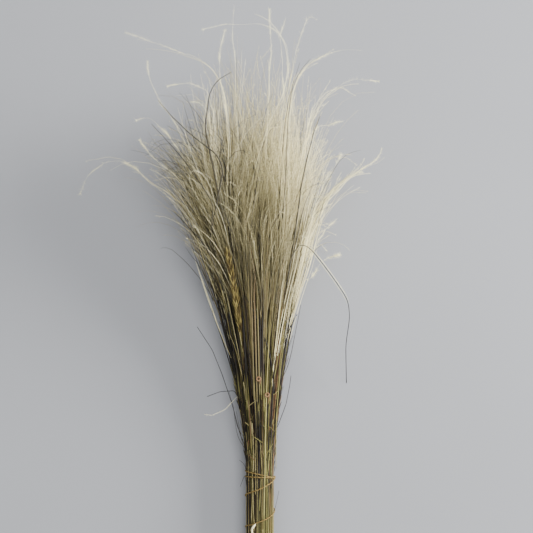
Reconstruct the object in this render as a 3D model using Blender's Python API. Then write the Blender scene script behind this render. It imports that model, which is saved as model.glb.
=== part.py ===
"""A tied bunch of dried feather grass, laid down on its side.

The bunch lies along +Y, its feathery heads toward +Y and its cut ends toward -Y, and +Z is up.
It is grown as sheaves: each sheaf is a handful of culms round a slim core, and each carries one
plume of awns on a rachis that follows on from the core. A jute twine is wound round the waist.
The origin is the middle of the small flat on the lowest culm, where the cut ends rest.
"""

import math

import bmesh
import bpy
import numpy as np
from mathutils import Matrix

MM = 0.001
SEED = 11
PX = 1.24 * MM  # real size of one pixel of the reference view, from above

# Round bunch of the cut ends and of the waist that the twine holds, by station from the cut ends.
FLARE_R, WAIST_R = 19.8 * MM, 17.2 * MM
FLARE_TO, WAIST_FROM = 18 * MM, 36 * MM
END_STATION = 9 * MM  # station of the origin
MIDDLE = 260  # pixel column and row of the axis and of the cut ends
CUT_ROW = 575

# Above the waist the sheaves spread into an oval, wider than it is high.
SPREAD_FROM, SPREAD_SCALE, SPREAD_POWER = 135 * MM, 132 * MM, 1.48
SPREAD_X, SPREAD_Z, LEAN = 16.5 * MM, 9.0 * MM, -2.4 * MM
LIFT = 0.93  # share of the upright spread that raises the axis, so that the underside stays low

# Rings of sheaves: count, radius and the angle of the first, which in the outer ring lies lowest.
RINGS = ((15, 14.45 * MM, -90.0), (9, 8.75 * MM, -70.0), (3, 3.25 * MM, -30.0))
OUTER_CULMS, INNER_CULMS = 4, 3
CULM_OFFSET, CULM_R, CULM_TIP_R = 1.85 * MM, 0.9 * MM, 0.45 * MM
CULM_STATIONS = (0, 18 * MM, 36 * MM, 134 * MM, 205 * MM)
CORE_R, CORE_TIP_R = 1.6 * MM, 1.0 * MM
RACHIS_R, RACHIS_TIP_R = 1.2 * MM, 0.8 * MM
AWN_R, AWN_TIP_R = 0.75 * MM, 0.42 * MM
AWNS = 6  # in each plume
CLEAR = 0.35 * MM  # air between two sheaves or plumes
OWN_CLEAR = 0.1 * MM  # air between two awns of one plume, past their roots
ROOT_LENGTH = 14 * MM
FLOOR_CLEAR = 0.45 * MM  # least height of an awn's middle
TOP = 150 * MM  # greatest height of an awn that is not a long one

# Three-sided strands. A culm has a flat side down, and the lowest one rests on it.
SIDES, FLAT_DOWN = 3, math.pi / 2
AXIS_Z = FLARE_R * (RINGS[0][1] + CULM_OFFSET) / WAIST_R + CULM_R / 2

# Twine: one strand that starts as a loop, winds down the waist twice and ends in a second loop.
TWINE_R, TWINE_COIL_R = 0.8 * MM, 18.35 * MM
KNOT_R = 2.1 * MM

# Single long awns that stand out of the bunch. For each: sheaf, station of its root, points in
# pixels across and down the reference view, and its height in mm at the middle and at the tip.
LONG_AWNS = (
    (11, 0.385, ((197, 228), (182, 205), (166, 192), (150, 183), (135, 168), (121, 161),
                 (105, 161), (92, 170), (83, 183), (80, 193)), 62, 24),
    (9, 0.400, ((229, 150), (227, 110), (222, 85), (213, 71), (200, 62), (180, 53),
                (152, 44), (127, 35)), 108, 95),
    (4, 0.375, ((308, 232), (325, 200), (345, 180), (363, 168), (376, 160), (382, 149)), 60, 45),
    (5, 0.400, ((301, 180), (305, 150), (312, 121), (323, 100), (339, 86), (356, 79),
                (378, 82)), 90, 75),
    (6, 0.400, ((285, 150), (289, 105), (295, 83), (306, 68), (325, 57), (343, 52),
                (361, 52)), 112, 100),
    (7, 0.400, ((273, 165), (281, 120), (289, 85), (296, 55), (302, 33), (309, 17),
                (316, 22)), 120, 108),
    (8, 0.400, ((256, 170), (270, 125), (283, 98), (289, 72), (286, 48), (275, 32),
                (258, 26), (240, 29), (225, 27), (205, 34)), 118, 130),
    (20, 0.410, ((240, 170), (237, 120), (235, 60), (233, 30), (234, 8)), 84, 90),
    (18, 0.410, ((265, 170), (268, 110), (271, 55), (269, 12)), 84, 92),
)

# Stems that stand out: a culm that broke and hangs over on the right, and three stray leaves.
STRAY_STEMS = (
    (5, 0.240, ((285, 290), (291, 258), (299, 243), (309, 247), (322, 263), (336, 282),
                (348, 300), (350, 317), (346, 345), (347, 384)), 88, 12),
    (11, 0.122, ((243, 443), (239, 432), (232, 405), (222, 375), (212, 350), (197, 327)), 26, 40),
    (10, 0.180, ((234, 391), (220, 392), (207, 397)), 40, 34),
    (4, 0.145, ((279, 424), (286, 405), (290, 385), (291, 376)), 24, 34),
)
GOLD_SHEAF = 9  # carries a closed golden seed head
GOLD_FROM, GOLD_TO, GOLD_R = 0.285, 0.398, 1.9 * MM


# The bunch's form

def spread(station):
    """How far the sheaves have opened at a station: 0 up to the waist."""
    beyond = np.maximum(np.asarray(station, float) - SPREAD_FROM, 0)
    return (beyond / SPREAD_SCALE) ** SPREAD_POWER


def flow(u, v, station):
    """Points at a station of the line (u, v), where u and v run from -1 to 1 over the section."""
    station = np.asarray(station, float)
    share = np.clip((station - FLARE_TO) / (WAIST_FROM - FLARE_TO), 0, 1)
    radius = FLARE_R + (WAIST_R - FLARE_R) * share
    opened = spread(station)
    x = LEAN * opened + (radius + SPREAD_X * opened) * u
    z = AXIS_Z + LIFT * SPREAD_Z * opened + (radius + SPREAD_Z * opened) * v
    return np.stack(np.broadcast_arrays(x, station - END_STATION, z), axis=-1)


def direction(u, v, station):
    """Unit vector along the line (u, v) at a station."""
    ahead = flow(u, v, station + 2 * MM) - flow(u, v, station - 2 * MM)
    return ahead / np.linalg.norm(ahead)


def sheaf_list(rng):
    """For each sheaf: u, v, angle, number of culms, and the stations of its stem's and plume's tops."""
    sheaves = []
    for count, radius, first in RINGS:
        for k in range(count):
            angle = math.radians(first + 360 * k / count)
            culms = OUTER_CULMS if count == RINGS[0][0] else INNER_CULMS
            u = radius / WAIST_R * math.cos(angle)
            v = radius / WAIST_R * math.sin(angle)
            top, end = rng.uniform(0.285, 0.325), rng.uniform(0.405, 0.445)
            sheaves.append((u, v, angle, culms, top, end))
    return sheaves


def clear_space(path, radii, others):
    """Least air between a strand and other segments, given as starts, spans and radii."""
    starts, spans, thick = others
    start, span = path[:-1, None], np.diff(path, axis=0)[:, None]
    own = np.maximum(radii[:-1], radii[1:])[:, None]
    apart = start - starts
    a, e = (span * span).sum(-1), (spans * spans).sum(-1)
    b, c, f = (span * spans).sum(-1), (span * apart).sum(-1), (spans * apart).sum(-1)
    near = np.clip((b * f - c * e) / np.maximum(a * e - b * b, 1e-18), 0, 1)
    far = np.clip((b * near + f) / e, 0, 1)
    near = np.clip((b * far - c) / a, 0, 1)
    air = (start + span * near[..., None]) - (starts + spans * far[..., None])
    return (np.sqrt((air * air).sum(-1)) - own - thick).min()


def bent(start, heading, toward, length, bow, hook, sway, count):
    """A strand that sets out along heading and turns toward a side by bow * t + hook * t ** 3."""
    ahead = heading / np.linalg.norm(heading)
    over = toward - ahead * (toward @ ahead)
    over /= np.linalg.norm(over)
    side = np.cross(ahead, over)
    steps = 48
    t = (np.arange(steps) + 0.5) / steps
    turn = (bow * t + hook * t ** 3)[:, None]
    wave = sway * np.sin(2 * np.pi * t)[:, None]
    walk = np.cos(turn) * ahead + np.sin(turn) * over + wave * side
    walk *= length / steps / np.linalg.norm(walk, axis=1)[:, None]
    path = start + np.vstack([np.zeros(3), np.cumsum(walk, axis=0)])
    return path[np.round(np.linspace(0, 1, count) ** 0.9 * steps).astype(int)]


def above_floor(path):
    """The strand, eased up where it would sink into the surface that the bunch lies on."""
    ease = 4 * MM
    eased = path.copy()
    eased[:, 2] = FLOOR_CLEAR + ease * np.logaddexp(0, (path[:, 2] - FLOOR_CLEAR) / ease)
    return eased


def stray(sheaves, entry, count, offset=0.0):
    """A single strand from its sheaf through pixels of the reference view, with rounded corners.

    It is rooted at an offset outward from the sheaf's own line.
    """
    k, station, pixels, middle, tip = entry
    u, v, angle = sheaves[k][:3]
    u += offset / WAIST_R * math.cos(angle)
    v += offset / WAIST_R * math.sin(angle)
    root = flow(u, v, station)
    marks = np.array(pixels, float)
    marks = np.column_stack([(marks[:, 0] - MIDDLE) * PX, (CUT_ROW - marks[:, 1]) * PX - END_STATION])
    flat = np.vstack([root[:2], root[:2] + 30 * MM * direction(u, v, station)[:2], marks])
    run = np.r_[0, np.cumsum(np.linalg.norm(np.diff(flat, axis=0), axis=1))]
    height = np.interp(run / run[-1], (0, 0.45, 1), (root[2], middle * MM, tip * MM))
    fine = np.linspace(0, run[-1], 200)
    path = np.column_stack([np.interp(fine, run, axis) for axis in (*flat.T, height)])
    for _ in range(60):
        path[1:-1] = (path[:-2] + path[1:-1] + path[2:]) / 3
    return path[np.round(np.linspace(0, 199, count)).astype(int)]


def stem_strands(sheaves, rng):
    """Core, culms and stray stems of each sheaf: (sheaf, path, radii, sides, turn of the section)."""
    strands = []
    for k, (u, v, angle, culms, top, _) in enumerate(sheaves):
        stations = np.r_[CULM_STATIONS, top]
        radii = np.interp(stations, (0.14, 0.2), (CORE_R, CORE_TIP_R))
        strands.append((k, flow(u, v, stations), radii, culms, angle))
        for j in range(culms):
            turn = angle + 2 * math.pi * j / culms
            reach = CULM_OFFSET / WAIST_R
            tip = rng.uniform(0.27, 0.42)
            stations = np.r_[CULM_STATIONS, tip]
            path = flow(u + reach * math.cos(turn), v + reach * math.sin(turn), stations)
            radii = np.interp(stations, (0.15, tip), (CULM_R, CULM_TIP_R))
            strands.append((k, path, radii, SIDES, FLAT_DOWN))
        if k == GOLD_SHEAF:
            stations = np.linspace(GOLD_FROM, GOLD_TO, 6)
            path = flow(u, v, stations) + np.linspace(0, 1, 6)[:, None] * (-2 * MM, 0, 9 * MM)
            radii = GOLD_R * np.array((0.5, 0.9, 1.0, 0.95, 0.7, 0.3))
            strands.append((k, path, radii, SIDES, 0))
    for entry in STRAY_STEMS:
        path = stray(sheaves, entry, 9, CULM_OFFSET)
        strands.append((entry[0], path, np.linspace(0.7 * MM, CULM_TIP_R, 9), SIDES, 0))
    return strands


def plume_strands(sheaves, stems, rng):
    """Rachis and awns of each plume, grown one after another so that no two plumes cross."""
    strands = []
    for k, (u, v, _, _, top, end) in enumerate(sheaves):
        stations = np.linspace(top + CLEAR, end, 5)
        radii = np.interp(stations, (top, end), (RACHIS_R, RACHIS_TIP_R))
        strands.append((k, flow(u, v, stations), radii, 4, 0))
    for entry in LONG_AWNS:
        path = stray(sheaves, entry, 10)
        strands.append((entry[0], path, np.linspace(AWN_R, AWN_TIP_R, 10), SIDES, 0))

    grown = Segments()
    for _, path, radii, *_ in stems:
        grown.add(-1, path, radii)
    for k, path, radii, *_ in strands:
        grown.add(k, path, radii)
    whole, beyond = Segments(), Segments()
    for k, path, radii, *_ in strands[len(sheaves):]:
        whole.add(k, path, radii)
        beyond.add(k, past_root(path), radii)
    radii = np.linspace(AWN_R, AWN_TIP_R, 6)
    for turn in range(AWNS):
        for k, sheaf in enumerate(sheaves):
            foreign = grown.chosen(k, False)
            own, own_beyond = whole.chosen(k, True), beyond.chosen(k, True)
            for attempt in range(120):
                path = awn(sheaf, rng, (turn + rng.random()) / AWNS, 1 - attempt / 200)
                if path[:, 2].max() > TOP or clear_space(path, radii, foreign) < CLEAR:
                    continue
                if own is not None and (
                        clear_space(path, radii, own_beyond) < OWN_CLEAR
                        or clear_space(past_root(path), radii, own) < OWN_CLEAR):
                    continue
                strands.append((k, path, radii, SIDES, 0))
                grown.add(k, path, radii)
                whole.add(k, path, radii)
                beyond.add(k, past_root(path), radii)
                break
    return strands


class Segments:
    """Straight pieces of the strands grown so far, each with its owner."""

    def __init__(self):
        self.parts = []

    def add(self, owner, path, radii):
        """Keeps the pieces of one strand."""
        count = len(path) - 1
        thick = np.maximum(radii[:-1], radii[1:])
        self.parts.append((np.full(count, owner), path[:-1], np.diff(path, axis=0), thick))

    def chosen(self, owner, same):
        """Starts, spans and radii of an owner's pieces, or of all the others' pieces."""
        if not self.parts:
            return None
        owners, *values = (np.concatenate(column) for column in zip(*self.parts))
        mask = (owners == owner) == same
        return [value[mask] for value in values] if mask.any() else None


def past_root(path):
    """The strand without the first length, where it still lies against its rachis."""
    rest = path.copy()
    rest[0] += ROOT_LENGTH * (path[1] - path[0]) / np.linalg.norm(path[1] - path[0])
    return rest


def awn(sheaf, rng, along, ease):
    """One awn of a plume, rooted along its rachis. Ease, down to 0, makes it leave and bend less."""
    u, v, _, _, top, end = sheaf
    out = math.hypot(u, v)
    station = top + 12 * MM + along * (end - top - 20 * MM)
    loose = rng.random() < (0.1 if out < 0.7 else 0.45 if u < 0 else 0.3)
    side = (0.22 if u < 0 else 0.10) if loose else -0.03
    heading = direction(u, v, station) + np.array([side * u, 0, 0.10 * v])
    heading += ease * rng.normal(0, (0.07, 0, 0.06))
    away = 1.2 * u if loose else -1.2 * u
    toward = np.array([away, 0, 0.6 * v - 0.2]) + rng.normal(0, (0.4, 0.001, 0.4))
    bow = ease * rng.uniform(0, 0.22)
    hook = ease * (rng.uniform(0.5, 1.8) if loose else rng.uniform(0, 0.35))
    tip = rng.uniform(0.575, 0.66) - 0.11 * out * rng.uniform(0.3, 1) - (0.02 if loose else 0)
    length = max(tip - station, 80 * MM)
    root = flow(u, v, station)
    return above_floor(bent(root, heading, toward, length, bow, hook, rng.normal(0, 0.05), 6))


# Solids

def tube_mesh(name, path, radii, sides, turn=0.0, closed=False):
    """A faceted tube along a path, with flat ends, or joined to itself where closed."""
    count = len(path)
    if closed:
        ahead = np.roll(path, -1, axis=0) - np.roll(path, 1, axis=0)
    else:
        ahead = np.gradient(path, axis=0)
    ahead /= np.linalg.norm(ahead, axis=1)[:, None]
    across = np.array([1.0, 0.0, 0.0])
    if abs(ahead[0, 0]) > 0.9:
        across = np.array([0.0, 1.0, 0.0])
    angles = turn + 2 * np.pi * np.arange(sides) / sides
    bm = bmesh.new()
    rings = []
    for k in range(count):
        across = across - ahead[k] * (across @ ahead[k])
        across /= np.linalg.norm(across)
        up = np.cross(across, ahead[k])
        ring = path[k] + radii[k] * (np.cos(angles)[:, None] * across + np.sin(angles)[:, None] * up)
        rings.append([bm.verts.new(point) for point in ring])
    for k in range(count if closed else count - 1):
        low, high = rings[k], rings[(k + 1) % count]
        for j in range(sides):
            after = (j + 1) % sides
            bm.faces.new((low[j], low[after], high[after], high[j]))
    if not closed:
        bm.faces.new(rings[0])
        bm.faces.new(rings[-1])
    bmesh.ops.recalc_face_normals(bm, faces=bm.faces)
    if bm.calc_volume(signed=True) < 0:
        bmesh.ops.reverse_faces(bm, faces=bm.faces)
    mesh = bpy.data.meshes.new(name)
    bm.to_mesh(mesh)
    bm.free()
    return mesh


def knot_mesh(name, middle):
    """A small faceted ball, turned so that no facet lies along an axis."""
    bm = bmesh.new()
    bmesh.ops.create_icosphere(bm, subdivisions=1, radius=KNOT_R)
    turn = Matrix.Rotation(0.4, 3, "Y") @ Matrix.Rotation(0.4, 3, "X")
    bmesh.ops.rotate(bm, verts=bm.verts, matrix=turn)
    bmesh.ops.translate(bm, verts=bm.verts, vec=middle)
    mesh = bpy.data.meshes.new(name)
    bm.to_mesh(mesh)
    bm.free()
    return mesh


def fused(name, meshes, material):
    """One object from overlapping closed meshes, by a Boolean union of the first with the rest."""
    base = bpy.data.objects.new(name, meshes[0])
    bpy.context.scene.collection.objects.link(base)
    group = bpy.data.collections.new(name + "_strands")
    bpy.context.scene.collection.children.link(group)
    for mesh in meshes[1:]:
        group.objects.link(bpy.data.objects.new(mesh.name, mesh))
    union = base.modifiers.new("union", "BOOLEAN")
    union.operation = "UNION"
    union.operand_type = "COLLECTION"
    union.collection = group
    union.solver = "EXACT"
    graph = bpy.context.evaluated_depsgraph_get()
    whole = bpy.data.meshes.new_from_object(base.evaluated_get(graph))
    base.modifiers.clear()
    base.data = whole
    whole.name = name
    for part in list(group.objects):
        bpy.data.objects.remove(part)
    bpy.data.collections.remove(group)
    whole.materials.clear()
    whole.materials.append(material)
    whole.shade_smooth()
    whole.set_sharp_from_angle(angle=math.radians(40))
    return base


def coil(turns_from, turns_to, stations, count):
    """Points round the waist, from turn to turn, at stations that follow the (turn, station) pairs."""
    turns = np.linspace(turns_from, turns_to, count)
    station = np.interp(turns, *zip(*stations))
    angle = 2 * np.pi * turns
    return np.column_stack([
        TWINE_COIL_R * np.cos(angle), station - END_STATION, AXIS_Z + TWINE_COIL_R * np.sin(angle)])


def build_twine(material):
    """Upper loop, two turns down the waist, lower loop, and a knot on each loop's right side."""
    turns = np.arange(24) / 24
    upper, lower = coil(0, 23 / 24, ((0, 0), (1, 0)), 24), coil(0, 23 / 24, ((0, 0), (1, 0)), 24)
    upper[:, 1] = (119.4 + 4.15 * (1 - np.cos(2 * np.pi * turns))) * MM - END_STATION
    lower[:, 1] = (46.0 - 1.5 * (1 - np.cos(2 * np.pi * turns))) * MM - END_STATION
    winding = ((0, 0.1194), (0.17, 0.1104), (0.27, 0.1048), (0.37, 0.101), (0.5, 0.0975),
               (1.0, 0.0786), (1.17, 0.0688), (1.26, 0.0647), (1.34, 0.0615), (1.5, 0.0585),
               (2.0, 0.046))
    down = coil(0, 2, winding, 49)
    thick = np.full(49, TWINE_R)
    meshes = [
        tube_mesh("twine_upper", upper, thick, 5, 0.2, closed=True),
        tube_mesh("twine_down", down, thick, 5, 0.6),
        tube_mesh("twine_lower", lower, thick, 5, 0.2, closed=True),
        knot_mesh("twine_knot_upper", upper[0]),
        knot_mesh("twine_knot_lower", lower[0]),
    ]
    return fused("twine", meshes, material)


def make_material(name, colour, roughness):
    """A plain Principled material."""
    material = bpy.data.materials.new(name)
    material.use_nodes = True
    shader = material.node_tree.nodes["Principled BSDF"]
    shader.inputs["Base Color"].default_value = (*colour, 1.0)
    shader.inputs["Roughness"].default_value = roughness
    shader.inputs["Metallic"].default_value = 0.0
    return material


def main():
    """Clears the scene and builds the sheaves, the plumes and the twine."""
    for obj in list(bpy.data.objects):
        bpy.data.objects.remove(obj)
    straw = make_material("dry_stem", (0.30, 0.25, 0.12), 0.75)
    cream = make_material("feather_awn", (0.72, 0.66, 0.50), 0.85)
    jute = make_material("jute", (0.50, 0.33, 0.17), 0.9)

    rng = np.random.default_rng(SEED)
    sheaves = sheaf_list(rng)
    stems = stem_strands(sheaves, rng)
    plumes = plume_strands(sheaves, stems, rng)
    for kind, strands, material in (("stem_sheaf", stems, straw), ("plume", plumes, cream)):
        for k in range(len(sheaves)):
            name = f"{kind}_{k + 1:02d}"
            own = [strand for strand in strands if strand[0] == k]
            meshes = [tube_mesh(f"{name}_{j}", *strand[1:]) for j, strand in enumerate(own)]
            fused(name, meshes, material)
    build_twine(jute)


main()
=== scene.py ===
"""Dried feather grass, tied in a bunch and laid down: its fine strands, hairs, twine and finishes.

Each sheaf of stems and each plume of the model is replaced by finer strands that grow by the same
rule from the same seed, so they keep to the places of the model's own strands. Stations run in
metres from the cut ends toward the heads. The bunch lies along +Y and the camera looks down on it.
"""

from __future__ import annotations

import logging
import math
from dataclasses import dataclass, field
from enum import Enum, IntEnum
from typing import Any, Sequence

import bpy
import numpy as np
from numpy.typing import NDArray
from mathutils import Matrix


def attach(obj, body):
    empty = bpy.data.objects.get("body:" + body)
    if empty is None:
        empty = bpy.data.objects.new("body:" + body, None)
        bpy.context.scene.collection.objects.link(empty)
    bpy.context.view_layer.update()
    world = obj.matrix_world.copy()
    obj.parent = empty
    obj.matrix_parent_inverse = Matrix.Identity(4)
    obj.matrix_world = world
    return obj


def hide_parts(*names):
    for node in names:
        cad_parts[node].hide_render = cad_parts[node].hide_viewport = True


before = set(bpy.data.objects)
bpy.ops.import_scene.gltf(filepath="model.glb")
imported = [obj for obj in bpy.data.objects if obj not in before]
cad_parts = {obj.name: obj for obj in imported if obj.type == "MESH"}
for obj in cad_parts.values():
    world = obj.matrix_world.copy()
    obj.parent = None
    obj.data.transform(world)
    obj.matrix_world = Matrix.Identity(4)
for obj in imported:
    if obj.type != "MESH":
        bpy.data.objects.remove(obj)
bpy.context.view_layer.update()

Array = NDArray[np.float64]
MM = 0.001
UP = np.array([0.0, 0.0, 1.0])
log = logging.getLogger("feather_grass")


# The bunch's form, the same as in the model

@dataclass(frozen=True)
class Sheaf:
    """One sheaf of culms and the plume that it carries."""

    u: float
    v: float
    angle: float
    culms: int
    top: float
    end: float


@dataclass(frozen=True)
class Form:
    """Where each line of the bunch runs, from the round cut ends to the wide oval head."""

    flare_radius: float = 19.8 * MM
    waist_radius: float = 17.2 * MM
    flare_to: float = 18 * MM
    waist_from: float = 36 * MM
    end_station: float = 9 * MM
    spread_from: float = 135 * MM
    spread_scale: float = 132 * MM
    spread_power: float = 1.48
    spread_x: float = 16.5 * MM
    spread_z: float = 9.0 * MM
    lean: float = -2.4 * MM
    lift: float = 0.93
    rings: tuple = ((15, 14.45 * MM, -90.0), (9, 8.75 * MM, -70.0), (3, 3.25 * MM, -30.0))
    culm_offset: float = 1.85 * MM
    culm_radius: float = 0.9 * MM
    pixel: float = 1.24 * MM
    middle: float = 260.0
    cut_row: float = 575.0

    @property
    def axis_z(self) -> float:
        """Height of the bunch's axis below the spread."""
        reach = self.rings[0][1] + self.culm_offset
        return self.flare_radius * reach / self.waist_radius + self.culm_radius / 2

    def spread(self, station: Any) -> Array:
        """How far the sheaves have opened: a power of the length beyond the waist.

        Args:
            station: Stations from the cut ends.

        Returns:
            The opening at each station, 0 up to the waist.
        """
        beyond = np.maximum(np.asarray(station, float) - self.spread_from, 0)
        return (beyond / self.spread_scale) ** self.spread_power

    def flow(self, u: Any, v: Any, station: Any) -> Array:
        """Points of the line (u, v): the section's centre plus u and v times its half sizes.

        Args:
            u: Place across the section, from -1 to 1.
            v: Place up the section, from -1 to 1.
            station: Stations from the cut ends.

        Returns:
            Points, with x, y and z on the last axis.
        """
        station = np.asarray(station, float)
        share = np.clip((station - self.flare_to) / (self.waist_from - self.flare_to), 0, 1)
        radius = self.flare_radius + (self.waist_radius - self.flare_radius) * share
        opened = self.spread(station)
        x = self.lean * opened + (radius + self.spread_x * opened) * u
        z = self.axis_z + self.lift * self.spread_z * opened + (radius + self.spread_z * opened) * v
        return np.stack(np.broadcast_arrays(x, station - self.end_station, z), axis=-1)

    def direction(self, u: float, v: float, station: float) -> Array:
        """Unit vector along the line (u, v) at a station."""
        ahead = self.flow(u, v, station + 2 * MM) - self.flow(u, v, station - 2 * MM)
        return ahead / np.linalg.norm(ahead)

    def sheaves(self, rng: np.random.Generator) -> list[Sheaf]:
        """The sheaves, ring by ring.

        Args:
            rng: Seeded source of the tops and ends.

        Returns:
            One entry for each sheaf.
        """
        found = []
        for count, radius, first in self.rings:
            for k in range(count):
                angle = math.radians(first + 360 * k / count)
                u = radius / self.waist_radius * math.cos(angle)
                v = radius / self.waist_radius * math.sin(angle)
                top, end = rng.uniform(0.285, 0.325), rng.uniform(0.405, 0.445)
                culms = 4 if count == self.rings[0][0] else 3
                found.append(Sheaf(u, v, angle, culms, top, end))
        return found


class Segments:
    """Straight pieces of the strands grown so far, each with its owner."""

    def __init__(self) -> None:
        """Starts with none."""
        self.parts: list[tuple[Array, ...]] = []

    def add(self, owner: int, path: Array, radii: Array) -> None:
        """Keeps the pieces of one strand."""
        thick = np.maximum(radii[:-1], radii[1:])
        self.parts.append((np.full(len(path) - 1, owner), path[:-1], np.diff(path, axis=0), thick))

    def chosen(self, owner: int, same: bool) -> list[Array] | None:
        """Starts, spans and radii of an owner's pieces, or of all the others'.

        Args:
            owner: The plume asked about.
            same: True for its own pieces, False for the others'.

        Returns:
            The three arrays, or None where there are no such pieces.
        """
        if not self.parts:
            return None
        owners, *values = (np.concatenate(column) for column in zip(*self.parts))
        mask = (owners == owner) == same
        return [value[mask] for value in values] if mask.any() else None


@dataclass(frozen=True)
class Strand:
    """One strand of the model: its owner, its few corners with radii, and its smooth course."""

    owner: int
    corners: Array
    radii: Array
    course: Array


@dataclass
class Growth:
    """The model's rule for growing its strands, repeated so that the fine ones follow them."""

    form: Form
    seed: int = 11
    awns: int = 6
    clear: float = 0.35 * MM
    own_clear: float = 0.1 * MM
    root_length: float = 14 * MM
    floor_clear: float = 0.45 * MM
    top: float = 150 * MM
    awn_radius: float = 0.75 * MM
    awn_tip_radius: float = 0.42 * MM
    culm_tip_radius: float = 0.45 * MM
    stations: tuple = (0, 18 * MM, 36 * MM, 134 * MM, 205 * MM)
    steps: int = 48
    attempts: int = 120
    ease_over: int = 200
    gold_sheaf: int = 9
    gold_radius: float = 1.9 * MM
    gold_stations: tuple = (0.285, 0.398)
    gold_shift: tuple = (-2 * MM, 0, 9 * MM)
    # Single strands: sheaf, station of the root, pixels, and heights in mm at the middle and tip
    long_awns: tuple = (
        (11, 0.385, ((197, 228), (182, 205), (166, 192), (150, 183), (135, 168), (121, 161),
                     (105, 161), (92, 170), (83, 183), (80, 193)), 62, 24),
        (9, 0.400, ((229, 150), (227, 110), (222, 85), (213, 71), (200, 62), (180, 53),
                    (152, 44), (127, 35)), 108, 95),
        (4, 0.375, ((308, 232), (325, 200), (345, 180), (363, 168), (376, 160), (382, 149)), 60, 45),
        (5, 0.400, ((301, 180), (305, 150), (312, 121), (323, 100), (339, 86), (356, 79),
                    (378, 82)), 90, 75),
        (6, 0.400, ((285, 150), (289, 105), (295, 83), (306, 68), (325, 57), (343, 52),
                    (361, 52)), 112, 100),
        (7, 0.400, ((273, 165), (281, 120), (289, 85), (296, 55), (302, 33), (309, 17),
                    (316, 22)), 120, 108),
        (8, 0.400, ((256, 170), (270, 125), (283, 98), (289, 72), (286, 48), (275, 32),
                    (258, 26), (240, 29), (225, 27), (205, 34)), 118, 130),
        (20, 0.410, ((240, 170), (237, 120), (235, 60), (233, 30), (234, 8)), 84, 90),
        (18, 0.410, ((265, 170), (268, 110), (271, 55), (269, 12)), 84, 92),
    )
    stray_stems: tuple = (
        (5, 0.240, ((285, 290), (291, 258), (299, 243), (309, 247), (322, 263), (336, 282),
                    (348, 300), (350, 317), (346, 345), (347, 384)), 88, 12),
        (11, 0.122, ((243, 443), (239, 432), (232, 405), (222, 375), (212, 350), (197, 327)), 26, 40),
        (10, 0.180, ((234, 391), (220, 392), (207, 397)), 40, 34),
        (4, 0.145, ((279, 424), (286, 405), (290, 385), (291, 376)), 24, 34),
    )
    sheaves: list[Sheaf] = field(default_factory=list)
    culms: list[Strand] = field(default_factory=list)
    strays: list[Strand] = field(default_factory=list)
    threads: list[Strand] = field(default_factory=list)
    singles: list[Strand] = field(default_factory=list)

    def grow(self) -> None:
        """Fills the lists of strands, in the model's order so that the draws agree."""
        rng = np.random.default_rng(self.seed)
        self.sheaves = self.form.sheaves(rng)
        stems = self.grow_stems(rng)
        self.grow_plumes(stems, rng)

    def stray(self, entry: tuple, count: int, offset: float) -> Strand:
        """A single strand from its sheaf through marked pixels, its corners averaged round.

        Args:
            entry: Sheaf, root station, pixels, and heights in mm at the middle and the tip.
            count: Corners to keep.
            offset: How far out from the sheaf's line it is rooted.

        Returns:
            The strand.
        """
        owner, station, pixels, middle, tip = entry
        sheaf = self.sheaves[owner]
        u, v = sheaf.u, sheaf.v
        u += offset / self.form.waist_radius * math.cos(sheaf.angle)
        v += offset / self.form.waist_radius * math.sin(sheaf.angle)
        root = self.form.flow(u, v, station)
        marks = np.array(pixels, float)
        marks = np.column_stack([
            (marks[:, 0] - self.form.middle) * self.form.pixel,
            (self.form.cut_row - marks[:, 1]) * self.form.pixel - self.form.end_station])
        lead = root[:2] + 30 * MM * self.form.direction(u, v, station)[:2]
        flat = np.vstack([root[:2], lead, marks])
        run = np.r_[0, np.cumsum(np.linalg.norm(np.diff(flat, axis=0), axis=1))]
        height = np.interp(run / run[-1], (0, 0.45, 1), (root[2], middle * MM, tip * MM))
        fine = np.linspace(0, run[-1], 200)
        path = np.column_stack([np.interp(fine, run, axis) for axis in (*flat.T, height)])
        course = rounded(path, 14)
        corners = rounded(path, 60)[np.round(np.linspace(0, 199, count)).astype(int)]
        radii = np.linspace(self.awn_radius, self.awn_tip_radius, count)
        return Strand(owner, corners, radii, course)

    def grow_stems(self, rng: np.random.Generator) -> list[Strand]:
        """Core, culms and stray stems of every sheaf.

        Args:
            rng: Seeded source of the tips.

        Returns:
            All of them, in the model's order.
        """
        form, strands = self.form, []
        for k, sheaf in enumerate(self.sheaves):
            stations = np.r_[self.stations, sheaf.top]
            radii = np.interp(stations, (0.14, 0.2), (1.6 * MM, 1.0 * MM))
            path = form.flow(sheaf.u, sheaf.v, stations)
            strands.append(Strand(k, path, radii, path))
            for j in range(sheaf.culms):
                turn = sheaf.angle + 2 * math.pi * j / sheaf.culms
                reach = form.culm_offset / form.waist_radius
                tip = rng.uniform(0.27, 0.42)
                stations = np.r_[self.stations, tip]
                u, v = sheaf.u + reach * math.cos(turn), sheaf.v + reach * math.sin(turn)
                path = form.flow(u, v, stations)
                radii = np.interp(stations, (0.15, tip), (form.culm_radius, self.culm_tip_radius))
                strand = Strand(k, path, radii, np.array([u, v, tip]))
                strands.append(strand)
                self.culms.append(strand)
            if k == self.gold_sheaf:
                stations = np.linspace(*self.gold_stations, 6)
                path = form.flow(sheaf.u, sheaf.v, stations)
                path = path + np.linspace(0, 1, 6)[:, None] * self.gold_shift
                radii = self.gold_radius * np.array((0.5, 0.9, 1.0, 0.95, 0.7, 0.3))
                strands.append(Strand(k, path, radii, path))
        for entry in self.stray_stems:
            strand = self.stray(entry, 9, form.culm_offset)
            radii = np.linspace(0.7 * MM, self.culm_tip_radius, 9)
            strands.append(Strand(strand.owner, strand.corners, radii, strand.course))
            self.strays.append(strands[-1])
        return strands

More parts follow.
